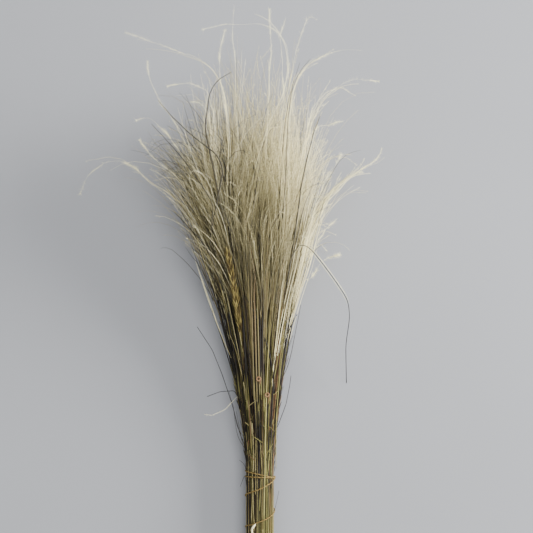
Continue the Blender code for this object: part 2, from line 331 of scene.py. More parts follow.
    def grow_plumes(self, stems: list[Strand], rng: np.random.Generator) -> None:
        """Awns of every plume, one after another, each kept clear of the plumes grown before.

        Args:
            stems: The stems' strands, which the awns keep clear of too.
            rng: Seeded source of the awns.
        """
        grown, whole, beyond = Segments(), Segments(), Segments()
        for strand in stems:
            grown.add(-1, strand.corners, strand.radii)
        for k, sheaf in enumerate(self.sheaves):
            stations = np.linspace(sheaf.top + self.clear, sheaf.end, 5)
            radii = np.interp(stations, (sheaf.top, sheaf.end), (1.2 * MM, 0.8 * MM))
            grown.add(k, self.form.flow(sheaf.u, sheaf.v, stations), radii)
        for entry in self.long_awns:
            strand = self.stray(entry, 10, 0.0)
            self.singles.append(strand)
            grown.add(strand.owner, strand.corners, strand.radii)
            whole.add(strand.owner, strand.corners, strand.radii)
            beyond.add(strand.owner, self.past_root(strand.corners), strand.radii)
        radii = np.linspace(self.awn_radius, self.awn_tip_radius, 6)
        for turn in range(self.awns):
            for k, sheaf in enumerate(self.sheaves):
                foreign = grown.chosen(k, False)
                own, own_beyond = whole.chosen(k, True), beyond.chosen(k, True)
                for attempt in range(self.attempts):
                    along = (turn + rng.random()) / self.awns
                    course = self.awn(sheaf, rng, along, 1 - attempt / self.ease_over)
                    path = course[np.round(np.linspace(0, 1, 6) ** 0.9 * self.steps).astype(int)]
                    high = path[:, 2].max() > self.top
                    if high or clear_space(path, radii, foreign) < self.clear:
                        continue
                    if own is not None and (
                            clear_space(path, radii, own_beyond) < self.own_clear
                            or clear_space(self.past_root(path), radii, own) < self.own_clear):
                        continue
                    self.threads.append(Strand(k, path, radii, course))
                    grown.add(k, path, radii)
                    whole.add(k, path, radii)
                    beyond.add(k, self.past_root(path), radii)
                    break

    def past_root(self, path: Array) -> Array:
        """The strand without the first length, where it still lies against its rachis."""
        rest = path.copy()
        rest[0] += self.root_length * (path[1] - path[0]) / np.linalg.norm(path[1] - path[0])
        return rest

    def awn(self, sheaf: Sheaf, rng: np.random.Generator, along: float, ease: float) -> Array:
        """One awn's course. It leaves its line a little and turns by bow * t + hook * t ** 3.

        Args:
            sheaf: The sheaf that it grows from.
            rng: Seeded source of its bends.
            along: Where on the rachis it is rooted, from 0 to 1.
            ease: Down to 0, it leaves and bends less.

        Returns:
            Points from its root to its tip, eased up from the surface that the bunch lies on.
        """
        u, v = sheaf.u, sheaf.v
        out = math.hypot(u, v)
        station = sheaf.top + 12 * MM + along * (sheaf.end - sheaf.top - 20 * MM)
        loose = rng.random() < (0.1 if out < 0.7 else 0.45 if u < 0 else 0.3)
        side = (0.22 if u < 0 else 0.10) if loose else -0.03
        heading = self.form.direction(u, v, station) + np.array([side * u, 0, 0.10 * v])
        heading += ease * rng.normal(0, (0.07, 0, 0.06))
        away = 1.2 * u if loose else -1.2 * u
        toward = np.array([away, 0, 0.6 * v - 0.2]) + rng.normal(0, (0.4, 0.001, 0.4))
        bow = ease * rng.uniform(0, 0.22)
        hook = ease * (rng.uniform(0.5, 1.8) if loose else rng.uniform(0, 0.35))
        tip = rng.uniform(0.575, 0.66) - 0.11 * out * rng.uniform(0.3, 1) - (0.02 if loose else 0)
        length = max(tip - station, 80 * MM)
        sway = rng.normal(0, 0.05)
        ahead = heading / np.linalg.norm(heading)
        over = toward - ahead * (toward @ ahead)
        over /= np.linalg.norm(over)
        across = np.cross(ahead, over)
        steps = self.steps
        t = (np.arange(steps) + 0.5) / steps
        turn = (bow * t + hook * t ** 3)[:, None]
        wave = sway * np.sin(2 * np.pi * t)[:, None]
        walk = np.cos(turn) * ahead + np.sin(turn) * over + wave * across
        walk *= length / steps / np.linalg.norm(walk, axis=1)[:, None]
        path = self.form.flow(u, v, station) + np.vstack([np.zeros(3), np.cumsum(walk, axis=0)])
        ease_height = 4 * MM
        rise = (path[:, 2] - self.floor_clear) / ease_height
        path[:, 2] = self.floor_clear + ease_height * np.logaddexp(0, rise)
        return path


def rounded(path: Array, times: int) -> Array:
    """The path with each inner point averaged with its neighbours, a number of times."""
    path = path.copy()
    for _ in range(times):
        path[1:-1] = (path[:-2] + path[1:-1] + path[2:]) / 3
    return path


def clear_space(path: Array, radii: Array, others: Sequence[Array]) -> float:
    """Least air between a strand and other straight pieces, from their nearest points.

    Args:
        path: The strand's corners.
        radii: Its radii.
        others: Starts, spans and radii of the other pieces.

    Returns:
        The least distance less both radii.
    """
    starts, spans, thick = others
    start, span = path[:-1, None], np.diff(path, axis=0)[:, None]
    own = np.maximum(radii[:-1], radii[1:])[:, None]
    apart = start - starts
    a, e = (span * span).sum(-1), (spans * spans).sum(-1)
    b, c, f = (span * spans).sum(-1), (span * apart).sum(-1), (spans * apart).sum(-1)
    near = np.clip((b * f - c * e) / np.maximum(a * e - b * b, 1e-18), 0, 1)
    far = np.clip((b * near + f) / e, 0, 1)
    near = np.clip((b * far - c) / a, 0, 1)
    air = (start + span * near[..., None]) - (starts + spans * far[..., None])
    return float((np.sqrt((air * air).sum(-1)) - own - thick).min())


# Surfaces from whole arrays

def unit(vectors: Array) -> Array:
    """The vectors at length 1."""
    return vectors / np.maximum(np.linalg.norm(vectors, axis=-1, keepdims=True), 1e-12)


def frames(paths: Array) -> tuple[Array, Array, Array]:
    """Unit vectors along and across many paths, carried from station to station without twist.

    Args:
        paths: Points, shaped (strands, stations, 3).

    Returns:
        The vectors ahead, across and over, each shaped like the paths.
    """
    ahead = unit(np.gradient(paths, axis=1))
    steep = np.abs(ahead[:, 0, 0]) > 0.8
    across = np.empty_like(paths)
    first = np.where(steep[:, None], UP, np.array([1.0, 0.0, 0.0]))
    across[:, 0] = unit(first - ahead[:, 0] * (first * ahead[:, 0]).sum(-1, keepdims=True))
    for k in range(1, paths.shape[1]):
        last = across[:, k - 1]
        across[:, k] = unit(last - ahead[:, k] * (last * ahead[:, k]).sum(-1, keepdims=True))
    return ahead, across, np.cross(ahead, across)


def resampled(course: Array, count: int, more: float = 0.0) -> Array:
    """The course at evenly spaced places along it, and straight on beyond its end.

    Args:
        course: Points, shaped (any, 3).
        count: Places wanted.
        more: Length beyond the end, as a share of the course's own.

    Returns:
        The points at those places.
    """
    run = np.r_[0, np.cumsum(np.linalg.norm(np.diff(course, axis=0), axis=1))]
    ahead = unit(course[-1] - course[-3])
    run = np.r_[run, run[-1] * (1 + max(more, 1e-6))]
    course = np.vstack([course, course[-1] + (run[-1] - run[-2]) * ahead])
    places = np.linspace(0, run[-2] * (1 + more), count)
    return np.column_stack([np.interp(places, run, axis) for axis in course.T])


def stacked(courses: Sequence[Array], count: int, more: float = 0.0) -> Array:
    """The courses, each resampled to the same number of places, as one array."""
    return np.stack([resampled(course, count, more) for course in courses])


def turned(paths: Array, total: Array, start: Array, axis: Array) -> Array:
    """Paths whose ends curl: each step turns about an axis by total * share ** 2 beyond the start.

    Args:
        paths: Points, shaped (strands, stations, 3).
        total: Whole turn at each tip, in radians.
        start: Where along each strand the curl begins, from 0 to 1.
        axis: Axis of each curl, shaped (strands, 3).

    Returns:
        The curled paths, of the same lengths.
    """
    steps = np.diff(paths, axis=1)
    t = np.linspace(0, 1, steps.shape[1])[None]
    share = np.clip((t - start[:, None]) / (1 - start[:, None]), 0, 1)
    angle = (total[:, None] * share ** 2)[..., None]
    axis = np.broadcast_to(unit(axis)[:, None], steps.shape)
    inline = axis * (axis * steps).sum(-1, keepdims=True)
    steps = (steps * np.cos(angle) + np.cross(axis, steps) * np.sin(angle)
             + inline * (1 - np.cos(angle)))
    return np.concatenate([paths[:, :1], paths[:, :1] + np.cumsum(steps, axis=1)], axis=1)


def waved(paths: Array, size: float, rng: np.random.Generator) -> Array:
    """Paths with small waves: sines of 3, 6 and 11 beats to each side, growing with the length.

    Args:
        paths: Points, shaped (strands, stations, 3).
        size: Scale of the waves.
        rng: Seeded source of their phases.

    Returns:
        The waved paths.
    """
    t = np.linspace(0, 1, paths.shape[1])[None]
    _, *sides = frames(paths)
    for side in sides:
        for beats in (3.0, 6.0, 11.0):
            phase = rng.uniform(0, 2 * np.pi, (len(paths), 1))
            shift = size / beats ** 0.7 * t * np.sin(2 * np.pi * beats * t + phase)
            paths = paths + shift[..., None] * side
    return paths


def held(paths: Array, low: float, high: float) -> Array:
    """Paths eased to stay above one height and below another, by a soft limit of each."""
    soft = 1.5 * MM
    paths = paths.copy()
    paths[..., 2] = low + soft * np.logaddexp(0, (paths[..., 2] - low) / soft)
    paths[..., 2] = high - soft * np.logaddexp(0, (high - paths[..., 2]) / soft)
    return paths


class Sheet:
    """Collects the faces of one piece and writes them into a mesh."""

    def __init__(self) -> None:
        """Starts empty."""
        self.points: list[Array] = []
        self.faces: list[tuple[NDArray[np.int64], Array, int]] = []
        self.total = 0

    def add(self, points: Array, faces: Sequence[tuple[NDArray[np.int64], Array]], slot: int) -> None:
        """Keeps points and their faces.

        Args:
            points: Points, shaped (any, 3).
            faces: Pairs of corner numbers, shaped (faces, corners), and their map places.
            slot: Material slot of these faces.
        """
        self.points.append(points.reshape(-1, 3))
        for corners, places in faces:
            self.faces.append((corners + self.total, places, slot))
        self.total += len(self.points[-1])

    def piece(self, name: str, materials: Sequence[bpy.types.Material]) -> bpy.types.Object:
        """The finished piece, at the origin, with its map in OFBake.

        Args:
            name: The piece's name.
            materials: Its finishes, in slot order.

        Returns:
            The object, linked to the scene.
        """
        mesh = bpy.data.meshes.new(name)
        corners = np.concatenate([face.ravel() for face, _, _ in self.faces])
        sizes = np.concatenate([np.full(len(face), face.shape[1]) for face, _, _ in self.faces])
        slots = np.concatenate([np.full(len(face), slot) for face, _, slot in self.faces])
        places = np.concatenate([place.reshape(-1, 2) for _, place, _ in self.faces])
        mesh.vertices.add(self.total)
        mesh.vertices.foreach_set("co", np.concatenate(self.points).ravel())
        mesh.loops.add(len(corners))
        mesh.loops.foreach_set("vertex_index", corners.astype(np.int32))
        mesh.polygons.add(len(sizes))
        starts = np.r_[0, np.cumsum(sizes)[:-1]]
        mesh.polygons.foreach_set("loop_start", starts.astype(np.int32))
        mesh.polygons.foreach_set("material_index", slots.astype(np.int32))
        mesh.update(calc_edges=True)
        mesh.polygons.foreach_set("use_smooth", np.ones(len(sizes), bool))
        layer = mesh.uv_layers.new(name="OFBake")
        layer.uv.foreach_set("vector", places.astype(np.float32).ravel())
        for material in materials:
            mesh.materials.append(material)
        piece = bpy.data.objects.new(name, mesh)
        bpy.context.scene.collection.objects.link(piece)
        return piece


ROWS = 64  # rows of the map, each the colour of one kind of strand


def row_place(tone: Array) -> Array:
    """Lower edge of the map row nearest to each tone, from 0 to 1."""
    return np.clip(np.floor(tone * ROWS), 0, ROWS - 1) / ROWS + 0.2 / ROWS


def add_tubes(sheet: Sheet, paths: Array, radii: Array, tone: Array, sides: int = 3,
              slot: int = 0, flat: float = 1.0, along: Array | None = None,
              basis: tuple[Array, Array] | None = None) -> None:
    """Closed tubes: a round profile of radius r carried along each path, with a cap at each end.

    Args:
        sheet: Where the faces go.
        paths: Points, shaped (strands, stations, 3).
        radii: Radii, shaped (strands, stations).
        tone: One tone for each strand, which picks its row of the map.
        sides: Corners of the profile.
        slot: Material slot.
        flat: Thickness of the profile as a share of its width.
        along: Map places along the strands, or None for the share of their stations.
        basis: Unit vectors across and over the paths, or None to work them out.
    """
    strands, stations = radii.shape
    across, over = basis if basis is not None else frames(paths)[1:]
    angles = 2 * np.pi * np.arange(sides) / sides
    ring = (np.cos(angles)[:, None] * across[:, :, None]
            + flat * np.sin(angles)[:, None] * over[:, :, None])
    points = paths[:, :, None] + radii[:, :, None, None] * ring
    index = np.arange(strands * stations * sides).reshape(strands, stations, sides)
    after = np.roll(index, -1, axis=2)
    quads = np.stack([index[:, :-1], after[:, :-1], after[:, 1:], index[:, 1:]], axis=-1)
    if along is None:
        along = np.broadcast_to(np.linspace(0, 1, stations), radii.shape)
    rows = row_place(tone)[:, None, None]
    side = np.arange(sides + 1) / sides * 0.6 / ROWS
    low, high = rows + side[:-1], rows + side[1:]
    here, there = along[:, :-1, None], along[:, 1:, None]
    u = np.stack(np.broadcast_arrays(here, here, there, there), axis=-1)
    u = np.broadcast_to(u, quads.shape)
    v = np.stack([low, high, high, low], axis=-1)
    v = np.broadcast_to(v, quads.shape)
    places = np.stack([u, v], axis=-1)
    faces = [(quads.reshape(-1, 4), places.reshape(-1, 4, 2))]
    for cap, at in ((index[:, 0, ::-1], along[:, :1]), (index[:, -1], along[:, -1:])):
        spot = np.stack(np.broadcast_arrays(at, rows[:, 0] + side[:-1]), axis=-1)
        faces.append((cap, spot))
    sheet.add(points, faces, slot)


def add_hairs(sheet: Sheet, paths: Array, tone: Array, places: Array, length: Array,
              rng: np.random.Generator, slot: int, width: float, splay: tuple[float, float]) -> None:
    """Fine hairs: slivers rooted on the paths that lean toward the tip by a splay angle.

    Args:
        sheet: Where the faces go.
        paths: Points of the strands, shaped (strands, stations, 3).
        tone: One tone for each strand.
        places: Where the hairs are rooted, from 0 to 1, shaped (strands, hairs).
        length: Their lengths, of the same shape.
        rng: Seeded source of their directions.
        slot: Material slot.
        width: Width at the root.
        splay: Least and greatest angle from the strand, in radians.
    """
    strands, stations, _ = paths.shape
    ahead, across, over = frames(paths)
    spot = places * (stations - 1)
    low = np.minimum(spot.astype(int), stations - 2)
    share = (spot - low)[..., None]
    pick = np.arange(strands)[:, None]
    root = paths[pick, low] * (1 - share) + paths[pick, low + 1] * share
    lean = rng.uniform(*splay, places.shape)[..., None]
    turn = rng.uniform(0, 2 * np.pi, places.shape)[..., None]
    out = np.cos(turn) * across[pick, low] + np.sin(turn) * over[pick, low]
    tip = root + length[..., None] * (np.cos(lean) * ahead[pick, low] + np.sin(lean) * out)
    tip[..., 2] = np.maximum(tip[..., 2], 0.2 * MM)
    half = 0.5 * width * unit(np.cross(tip - root, rng.normal(0, 1, tip.shape)))
    points = np.stack([root - half, root + half, tip], axis=-2)
    index = np.arange(points.size // 3).reshape(-1, 3)
    rows = np.broadcast_to(row_place(tone)[:, None], places.shape)
    u = np.stack([places, places, np.minimum(places + 0.01, 1)], axis=-1)
    v = np.stack([rows, rows + 0.6 / ROWS, rows + 0.3 / ROWS], axis=-1)
    sheet.add(points, [(index, np.stack([u, v], axis=-1).reshape(-1, 3, 2))], slot)


# Finishes

def colour(red: int, green: int, blue: int) -> tuple[float, float, float, float]:
    """A display colour, 0 to 255 a channel, as the shader's linear colour."""
    linear = [c / 255 / 12.92 if c <= 10 else ((c / 255 + 0.055) / 1.055) ** 2.4
              for c in (red, green, blue)]
    return (linear[0], linear[1], linear[2], 1.0)


class Socket:
    """A shader socket in an expression: each operator adds a Math node."""

    def __init__(self, graph: Graph, link: bpy.types.NodeSocket) -> None:
        """Wraps a node's output."""
        self.graph, self.link = graph, link

    def math(self, operation: str, first: Any, second: Any = 0.0) -> Socket:
        """The result of one Math node."""
        return self.graph.add("ShaderNodeMath", {"operation": operation}, {0: first, 1: second})

    def __add__(self, other: Any) -> Socket:
        """Sum."""
        return self.math("ADD", self, other)

    def __rsub__(self, other: Any) -> Socket:
        """Difference from a number."""
        return self.math("SUBTRACT", other, self)

    def __mul__(self, other: Any) -> Socket:
        """Product."""
        return self.math("MULTIPLY", self, other)

    __radd__, __rmul__ = __add__, __mul__

    def between(self, low: float, high: float) -> Socket:
        """Smooth step from 0 at low to 1 at high."""
        settings = {"interpolation_type": "SMOOTHSTEP"}
        return self.graph.add("ShaderNodeMapRange", settings, {"Value": self, 1: low, 2: high})


class Graph:
    """The node tree of one material."""

    def __init__(self, name: str) -> None:
        """A new material with a Principled shader."""
        self.material = bpy.data.materials.new(name)
        self.material.use_nodes = True
        self.tree = self.material.node_tree
        self.shader = self.tree.nodes["Principled BSDF"]

    def add(self, kind: str, settings: dict[str, Any], inputs: dict[Any, Any],
            output: Any = 0) -> Socket:
        """Any other node.

        Args:
            kind: The node's type.
            settings: Its settings; "stops" holds a ramp's places and colours.
            inputs: Values or links for its sockets.
            output: Which output to return.

        Returns:
            The chosen output.
        """
        node = self.tree.nodes.new(kind)
        for name, value in settings.items():
            if name == "stops":
                ramp = node.color_ramp
                while len(ramp.elements) < len(value):
                    ramp.elements.new(1.0)
                for element, (place, shade) in zip(ramp.elements, value):
                    element.position, element.color = place, shade
            else:
                setattr(node, name, value)
        for key, value in inputs.items():
            self.join(value, node.inputs[key])
        return Socket(self, node.outputs[output])

    def join(self, value: Any, target: bpy.types.NodeSocket) -> None:
        """Links a socket, or sets a value."""
        if isinstance(value, Socket):
            self.tree.links.new(value.link, target)
        else:
            target.default_value = value

    def mix(self, factor: Any, first: Any, second: Any, blend: str = "MIX") -> Socket:
        """One colour mixed with another."""
        settings = {"data_type": "RGBA", "blend_type": blend}
        return self.add("ShaderNodeMix", settings, {0: factor, 6: first, 7: second}, 2)

    def place(self) -> tuple[Socket, Socket]:
        """The map's two coordinates: along the strand, and the strand's row."""
        layer = self.add("ShaderNodeUVMap", {"uv_map": "OFBake"}, {})
        return (self.add("ShaderNodeSeparateXYZ", {}, {0: layer}, 0),
                self.add("ShaderNodeSeparateXYZ", {}, {0: layer}, 1))

    def vector(self, x: Any, y: Any, z: Any = 0.0) -> Socket:
        """Three values as one vector."""
        return self.add("ShaderNodeCombineXYZ", {}, {0: x, 1: y, 2: z})

    def noise(self, vector: Any, scale: float, detail: float = 2.0) -> Socket:
        """A noise value."""
        inputs = {"Vector": vector, "Scale": scale, "Detail": detail}
        return self.add("ShaderNodeTexNoise", {}, inputs)


Stops = tuple[tuple[float, tuple[int, int, int]], ...]


@dataclass(frozen=True)
class StrandFinish:
    """A dry plant finish: a palette over the rows, a root tone, and streaks along the strand."""

    name: str
    palette: Stops
    root: tuple[int, int, int]
    root_to: float
    root_share: float
    streak: float
    streaks: float
    roughness: float
    relief: float = 0.0
    sheen: float = 0.0

    def make(self) -> bpy.types.Material:
        """The material."""
        graph = Graph(self.name)
        along, row = graph.place()
        stops = [(place, colour(*shade)) for place, shade in self.palette]
        base = graph.add("ShaderNodeValToRGB", {"stops": stops}, {0: row})
        fade = (1 - along.between(0.0, self.root_to)) * self.root_share
        base = graph.mix(fade, base, colour(*self.root))
        mottle = graph.noise(graph.vector(along * self.streaks, row * ROWS * 0.73), 1.0, 3.0)
        shade = mottle * (2 * self.streak) + (1 - self.streak)
        base = graph.mix(1.0, base, graph.vector(shade, shade, shade * 0.97 + 0.03), "MULTIPLY")
        graph.join(base, graph.shader.inputs["Base Color"])
        graph.join(mottle * 0.2 + (self.roughness - 0.1), graph.shader.inputs["Roughness"])
        if self.relief:
            grain = graph.noise(graph.vector(along * 6.0, row * ROWS * 9.0), 1.0, 2.0)
            bump = graph.add("ShaderNodeBump", {}, {"Strength": self.relief, "Distance": 0.0002,
                                                    "Height": grain})
            graph.join(bump, graph.shader.inputs["Normal"])
        graph.shader.inputs["Sheen Weight"].default_value = self.sheen
        graph.shader.inputs["Specular IOR Level"].default_value = 0.3
        return graph.material


class Finish(Enum):
    """The bunch's finishes."""

    STEM = StrandFinish(
        "dry_stem", ((0.0, (12, 9, 6)), (0.2, (42, 32, 21)), (0.34, (124, 90, 64)),
                     (0.48, (78, 74, 40)), (0.68, (122, 118, 64)), (0.86, (160, 148, 96)),
                     (1.0, (196, 184, 134))),
        (136, 132, 74), 0.34, 0.6, 0.45, 40.0, 0.6, 0.5)
    # The awn's olive root tone, faded out over most of its length, is partly the awns' own darker
    # lower part, partly painted shade inside the head
    AWN = StrandFinish(
        "feather_awn", ((0.0, (15, 12, 8)), (0.10, (48, 41, 26)), (0.24, (124, 114, 76)),
                        (0.36, (160, 151, 109)), (0.54, (190, 178, 126)), (0.8, (242, 232, 188)),
                        (1.0, (253, 248, 214))),
        (56, 51, 28), 0.82, 0.92, 0.2, 14.0, 0.65, 0.0, 0.15)
    HAIR = StrandFinish(
        "feather_hair", ((0.0, (172, 158, 108)), (0.3, (234, 222, 170)), (1.0, (254, 249, 209))),
        (150, 138, 88), 0.6, 0.75, 0.08, 30.0, 0.7, 0.0, 0.2)
    GLUME = StrandFinish(
        "papery_glume", ((0.0, (74, 64, 40)), (0.5, (136, 124, 88)), (1.0, (206, 194, 152))),
        (72, 66, 42), 0.5, 0.5, 0.25, 18.0, 0.55, 0.3)
    GOLD = StrandFinish(
        "golden_spikelet", ((0.0, (26, 19, 9)), (0.5, (82, 67, 33)), (1.0, (150, 137, 78))),
        (50, 40, 20), 0.6, 0.5, 0.3, 12.0, 0.55, 0.3)
    BLADE = StrandFinish(
        "leaf_blade", ((0.0, (18, 14, 9)), (0.2, (56, 45, 28)), (0.34, (106, 84, 57)),
                       (0.48, (98, 90, 53)), (0.68, (156, 146, 93)), (0.86, (230, 218, 164)),
                       (1.0, (254, 248, 204))),
        (96, 88, 53), 0.9, 0.9, 0.3, 26.0, 0.65, 0.3, 0.1)
    JUTE = StrandFinish(
        "jute_twine", ((0.0, (62, 46, 22)), (0.5, (106, 86, 46)), (1.0, (150, 130, 77))),
        (96, 76, 42), 0.1, 0.0, 0.3, 160.0, 0.85, 0.6)

    def make(self) -> bpy.types.Material:
        """The material of this finish."""
        return self.value.make()


class StemSlot(IntEnum):
    """Material slots of the stems' pieces, named as their finishes are."""

    STEM = 0
    GOLD = 1
    HAIR = 2
    BLADE = 3


class PlumeSlot(IntEnum):
    """Material slots of the plumes' pieces, named as their finishes are."""

    AWN = 0
    HAIR = 1
    GLUME = 2
    BLADE = 3


# Sub-assemblies

@dataclass
class Part:
    """What a sheaf's stems and its plume share: its place, the piece's faces and a random source."""

    form: Form
    growth: Growth
    number: int
    seed: int = 0

    def __post_init__(self) -> None:
        """Starts with no faces, and with the piece's own seeded random source."""
        self.sheet, self.rng = Sheet(), np.random.default_rng(self.seed + self.number)

    @property
    def sheaf(self) -> Sheaf:
        """The sheaf that the piece belongs to."""
        return self.growth.sheaves[self.number]


@dataclass
class Culms(Part):
    """The stems of one sheaf: its culms, and rolled leaves between and round them."""

    seed: int = 1000
    sides: int = 6
    stations: int = 18
    culm_radius: float = 0.76 * MM
    leaf_radius: float = 0.42 * MM
    leaves: int = 20
    crossing: int = 11
    hollow: float = 1.4 * MM
    layer: float = 0.8
    # How dark the inner strands are painted, as painted shade
    inner_shade_tone: float = 0.2
    # Each kind of stem: its tone and how common it is; the commonest, near-black kind is partly the
    # stems' own dark colour, partly painted shade of the gaps between them
    kinds: tuple = ((0.04, 0.56), (0.24, 0.12), (0.48, 0.10), (0.68, 0.11), (0.90, 0.11))
    alike_tones: tuple = (0.08, 0.48)
    alike_share: float = 0.2
    right_shade: float = 0.48
    tone_spread: float = 0.05
    late_root: float = 0.4
    latest_root: float = 0.34
    full_length: float = 0.45
    # Crossing strands: stations of the root, lengths, drift round the bunch, and radii in mm
    crossing_root: tuple = (0.0, 0.26)
    crossing_length: tuple = (0.06, 0.20)
    crossing_drift: float = 0.28
    crossing_radius: tuple = (0.22, 0.45)
    broad_share: float = 0.25
    # Broken bits: how many, their stations, lengths and radii in mm, and how askew they lie
    chaff: int = 9
    chaff_station: tuple = (0.125, 0.235)
    chaff_length: tuple = (5, 16)
    chaff_radius: tuple = (0.2, 0.5)
    chaff_skew: float = 0.55
    # Rolled leaves: distances from the sheaf's middle in mm, and stations of the root and tip
    leaf_offset: tuple = (1.3, 3.6)
    leaf_root: tuple = (0, 0.06)
    raised_share: float = 0.4
    leaf_tip: tuple = (0.22, 0.38)
    # Stations above which the culms taper, and the leaves spread
    taper_from: float = 0.12
    spread_from: float = 0.14
    floor_gap: float = 0.6 * MM
    long_stray: int = 5
    # The golden seed head: how many spikelets, their lengths and their bristles' lengths in mm
    spikelets: int = 190
    spikelet_length: tuple = (8, 13)
    bristle_length: tuple = (3, 7)
    # A scrap of awn: sheaf, station of the root, pixels, and heights in mm at the middle and tip
    wisp: tuple = (10, 0.19, ((237, 397), (225, 410), (212, 416), (204, 415)), 34, 30)
    # Curled leaf ends: sheaf and pixel
    curls: tuple = ((8, (258.5, 379)), (7, (267, 395)))
    # Flat leaves: sheaf, pixels, half width in mm, tone and material slot
    blades: tuple = (
        (8, ((254, 400), (253, 360), (252, 320), (251, 288), (252, 262)), 0.9, 0.42, StemSlot.BLADE),
        (8, ((257, 402), (256, 360), (255, 320), (254, 288), (255, 265)), 0.9, 0.36, StemSlot.BLADE),
        (8, ((259.5, 395), (258.5, 350), (257.5, 310), (257, 280)), 0.8, 0.5, StemSlot.BLADE),
        (8, ((253, 350), (250, 315), (248.5, 285), (248.5, 264)), 0.8, 0.46, StemSlot.BLADE),
        (8, ((264, 412), (263, 375), (262, 335), (263, 300), (265, 278)), 1.3, 0.02, StemSlot.STEM),
        (8, ((261.5, 400), (260.5, 365), (260, 330), (260, 300)), 1.0, 0.02, StemSlot.STEM),
        (9, ((247, 410), (246, 370), (244, 335), (242, 300)), 1.1, 0.02, StemSlot.STEM),
        (9, ((240, 400), (237, 370), (231, 335), (227, 300)), 1.2, 0.02, StemSlot.STEM),
        (7, ((264, 520), (265, 460), (266, 400), (268, 350), (272, 300)), 0.8, 0.74, StemSlot.STEM),
        (6, ((276, 470), (276, 420), (280, 370), (286, 330)), 0.6, 0.7, StemSlot.STEM),
        (6, ((271, 480), (271, 430), (273, 385), (278, 340)), 0.9, 0.02, StemSlot.STEM),
        (10, ((231, 358), (221, 335), (208, 300), (199, 272), (192, 250)), 0.45, 0.95, StemSlot.HAIR),
        (10, ((226, 350), (214, 315), (204, 285), (196, 262)), 0.4, 0.6, StemSlot.HAIR),
        (11, ((240, 400), (225, 348), (211, 308), (200, 275)), 0.6, 0.03, StemSlot.STEM),
        (9, ((251, 450), (250, 420), (248, 392)), 0.6, 0.26, StemSlot.STEM),
        (8, ((251, 532), (253, 528), (256, 524)), 1.5, 0.98, StemSlot.HAIR),
        (8, ((253, 540), (252, 534), (252, 528)), 1.2, 0.7, StemSlot.HAIR),
    )
    straw_ends: tuple = (6, 7)
    end_tones: tuple = (0.08, 0.7)
    # Broken ends: sheaf, station of the root, pixels and radius in mm
    ends: tuple = (
        (11, 0.085, ((245, 474), (243, 480), (240, 488)), 0.40),
        (11, 0.120, ((245, 467), (243, 464), (239, 461)), 0.35),
        (4, 0.066, ((275, 510), (277, 502), (279, 492)), 0.35),
        (11, 0.150, ((238, 440), (235, 425), (233, 405)), 0.30),
        (11, 0.165, ((237, 430), (234, 412), (229, 392)), 0.30),
        (10, 0.120, ((243, 448), (240, 432), (236, 412)), 0.32),
        (4, 0.230, ((289, 366), (295, 335), (301, 305)), 0.45),
        (6, 0.170, ((266, 425), (271, 428), (275, 432)), 0.40),
        (7, 0.150, ((263, 462), (267, 454), (273, 444)), 0.45),
    )

    @property
    def name(self) -> str:
        """The model's node that these stems stand for."""
        return f"stem_sheaf_{self.number + 1:02d}"

    def build(self, materials: dict[Finish, bpy.types.Material]) -> bpy.types.Object:
        """Makes the piece.

        Args:
            materials: The finishes.

        Returns:
            The piece that replaces the sheaf's node.
        """
        self.add_culms()
        self.add_leaves()
        if self.number < self.form.rings[0][0]:
            self.add_crossing()
            self.add_chaff()
        for strand in self.growth.strays:
            if strand.owner == self.number:
                self.add_stray(strand)
        for entries, add in ((self.ends, self.add_end), (self.curls, self.add_curl),
                             (self.blades, self.add_blade)):
            for owner, *values in entries:
                if owner == self.number:
                    add(*values)
        if self.number == self.wisp[0]:
            self.add_wisp()
        if self.number == self.growth.gold_sheaf:
            self.add_gold()
        slots = [materials[Finish[slot.name]] for slot in StemSlot]
        return self.sheet.piece(f"culms_{self.number + 1:02d}", slots)

    def tones(self, count: int) -> Array:
        """Tones for stems: most are dark, some olive or straw, a share of a sheaf's are alike, and
        those on the bunch's right side are darkened as painted shade.
        """
        rng, u = self.rng, self.sheaf.u
        kinds, shares = np.array(self.kinds).T
        shares = shares * np.exp(-0.8 * u * (kinds - 0.5))
        picked = rng.choice(kinds, count, p=shares / shares.sum())
        picked[rng.random(count) < self.alike_share] = self.alike_tones[self.number % 2]
        # Painted shade: stems on the bunch's right side are made darker by right_shade times their
        # place across
        painted_right_shade = 1 - self.right_shade * max(u, 0)
        return np.clip(painted_right_shade * picked + rng.normal(0, self.tone_spread, count), 0.01, 0.98)

    def along(self, stations: Array) -> Array:
        """Map places of stations: on the left they begin late, past the finish's olive root."""
        begin = min(max(-self.late_root * self.sheaf.u, 0), self.latest_root)
        return begin + (1 - begin) * stations / self.full_length

    def painted_inner_shade(self, tone: Array, u: Array, v: Array) -> Array:
        """The tones, made dark for strands that lie below the outer layer: painted shade on the inner
        strands that show in the gaps.
        """
        # Painted shade: strands inside the outer layer are darkened to a fifth of their tone
        return tone * np.where(np.hypot(u, v) < self.layer, self.inner_shade_tone, 1.0)

    def surface(self, x: Array, station: Array, reach: float) -> Array:
        """Points on the bunch's upper surface, where the section has half sizes times the reach.

        Args:
            x: Places across.
            station: Stations from the cut ends.
            reach: Scale of the section.

        Returns:
            The points.
        """
        middle, edge = self.form.flow(0, 0, station), self.form.flow(1, 1, station)
        half = reach * (edge - middle)
        u = np.clip((x - middle[..., 0]) / half[..., 0], -0.999, 0.999)
        height = middle[..., 2] + half[..., 2] * np.sqrt(1 - u * u)
        return np.stack([x, middle[..., 1], height], axis=-1)

    def at_pixel(self, pixels: Any) -> tuple[Array, Array]:
        """Places across and stations of marked pixels."""
        marks = np.asarray(pixels, float)
        return ((marks[..., 0] - self.form.middle) * self.form.pixel,
                (self.form.cut_row - marks[..., 1]) * self.form.pixel)

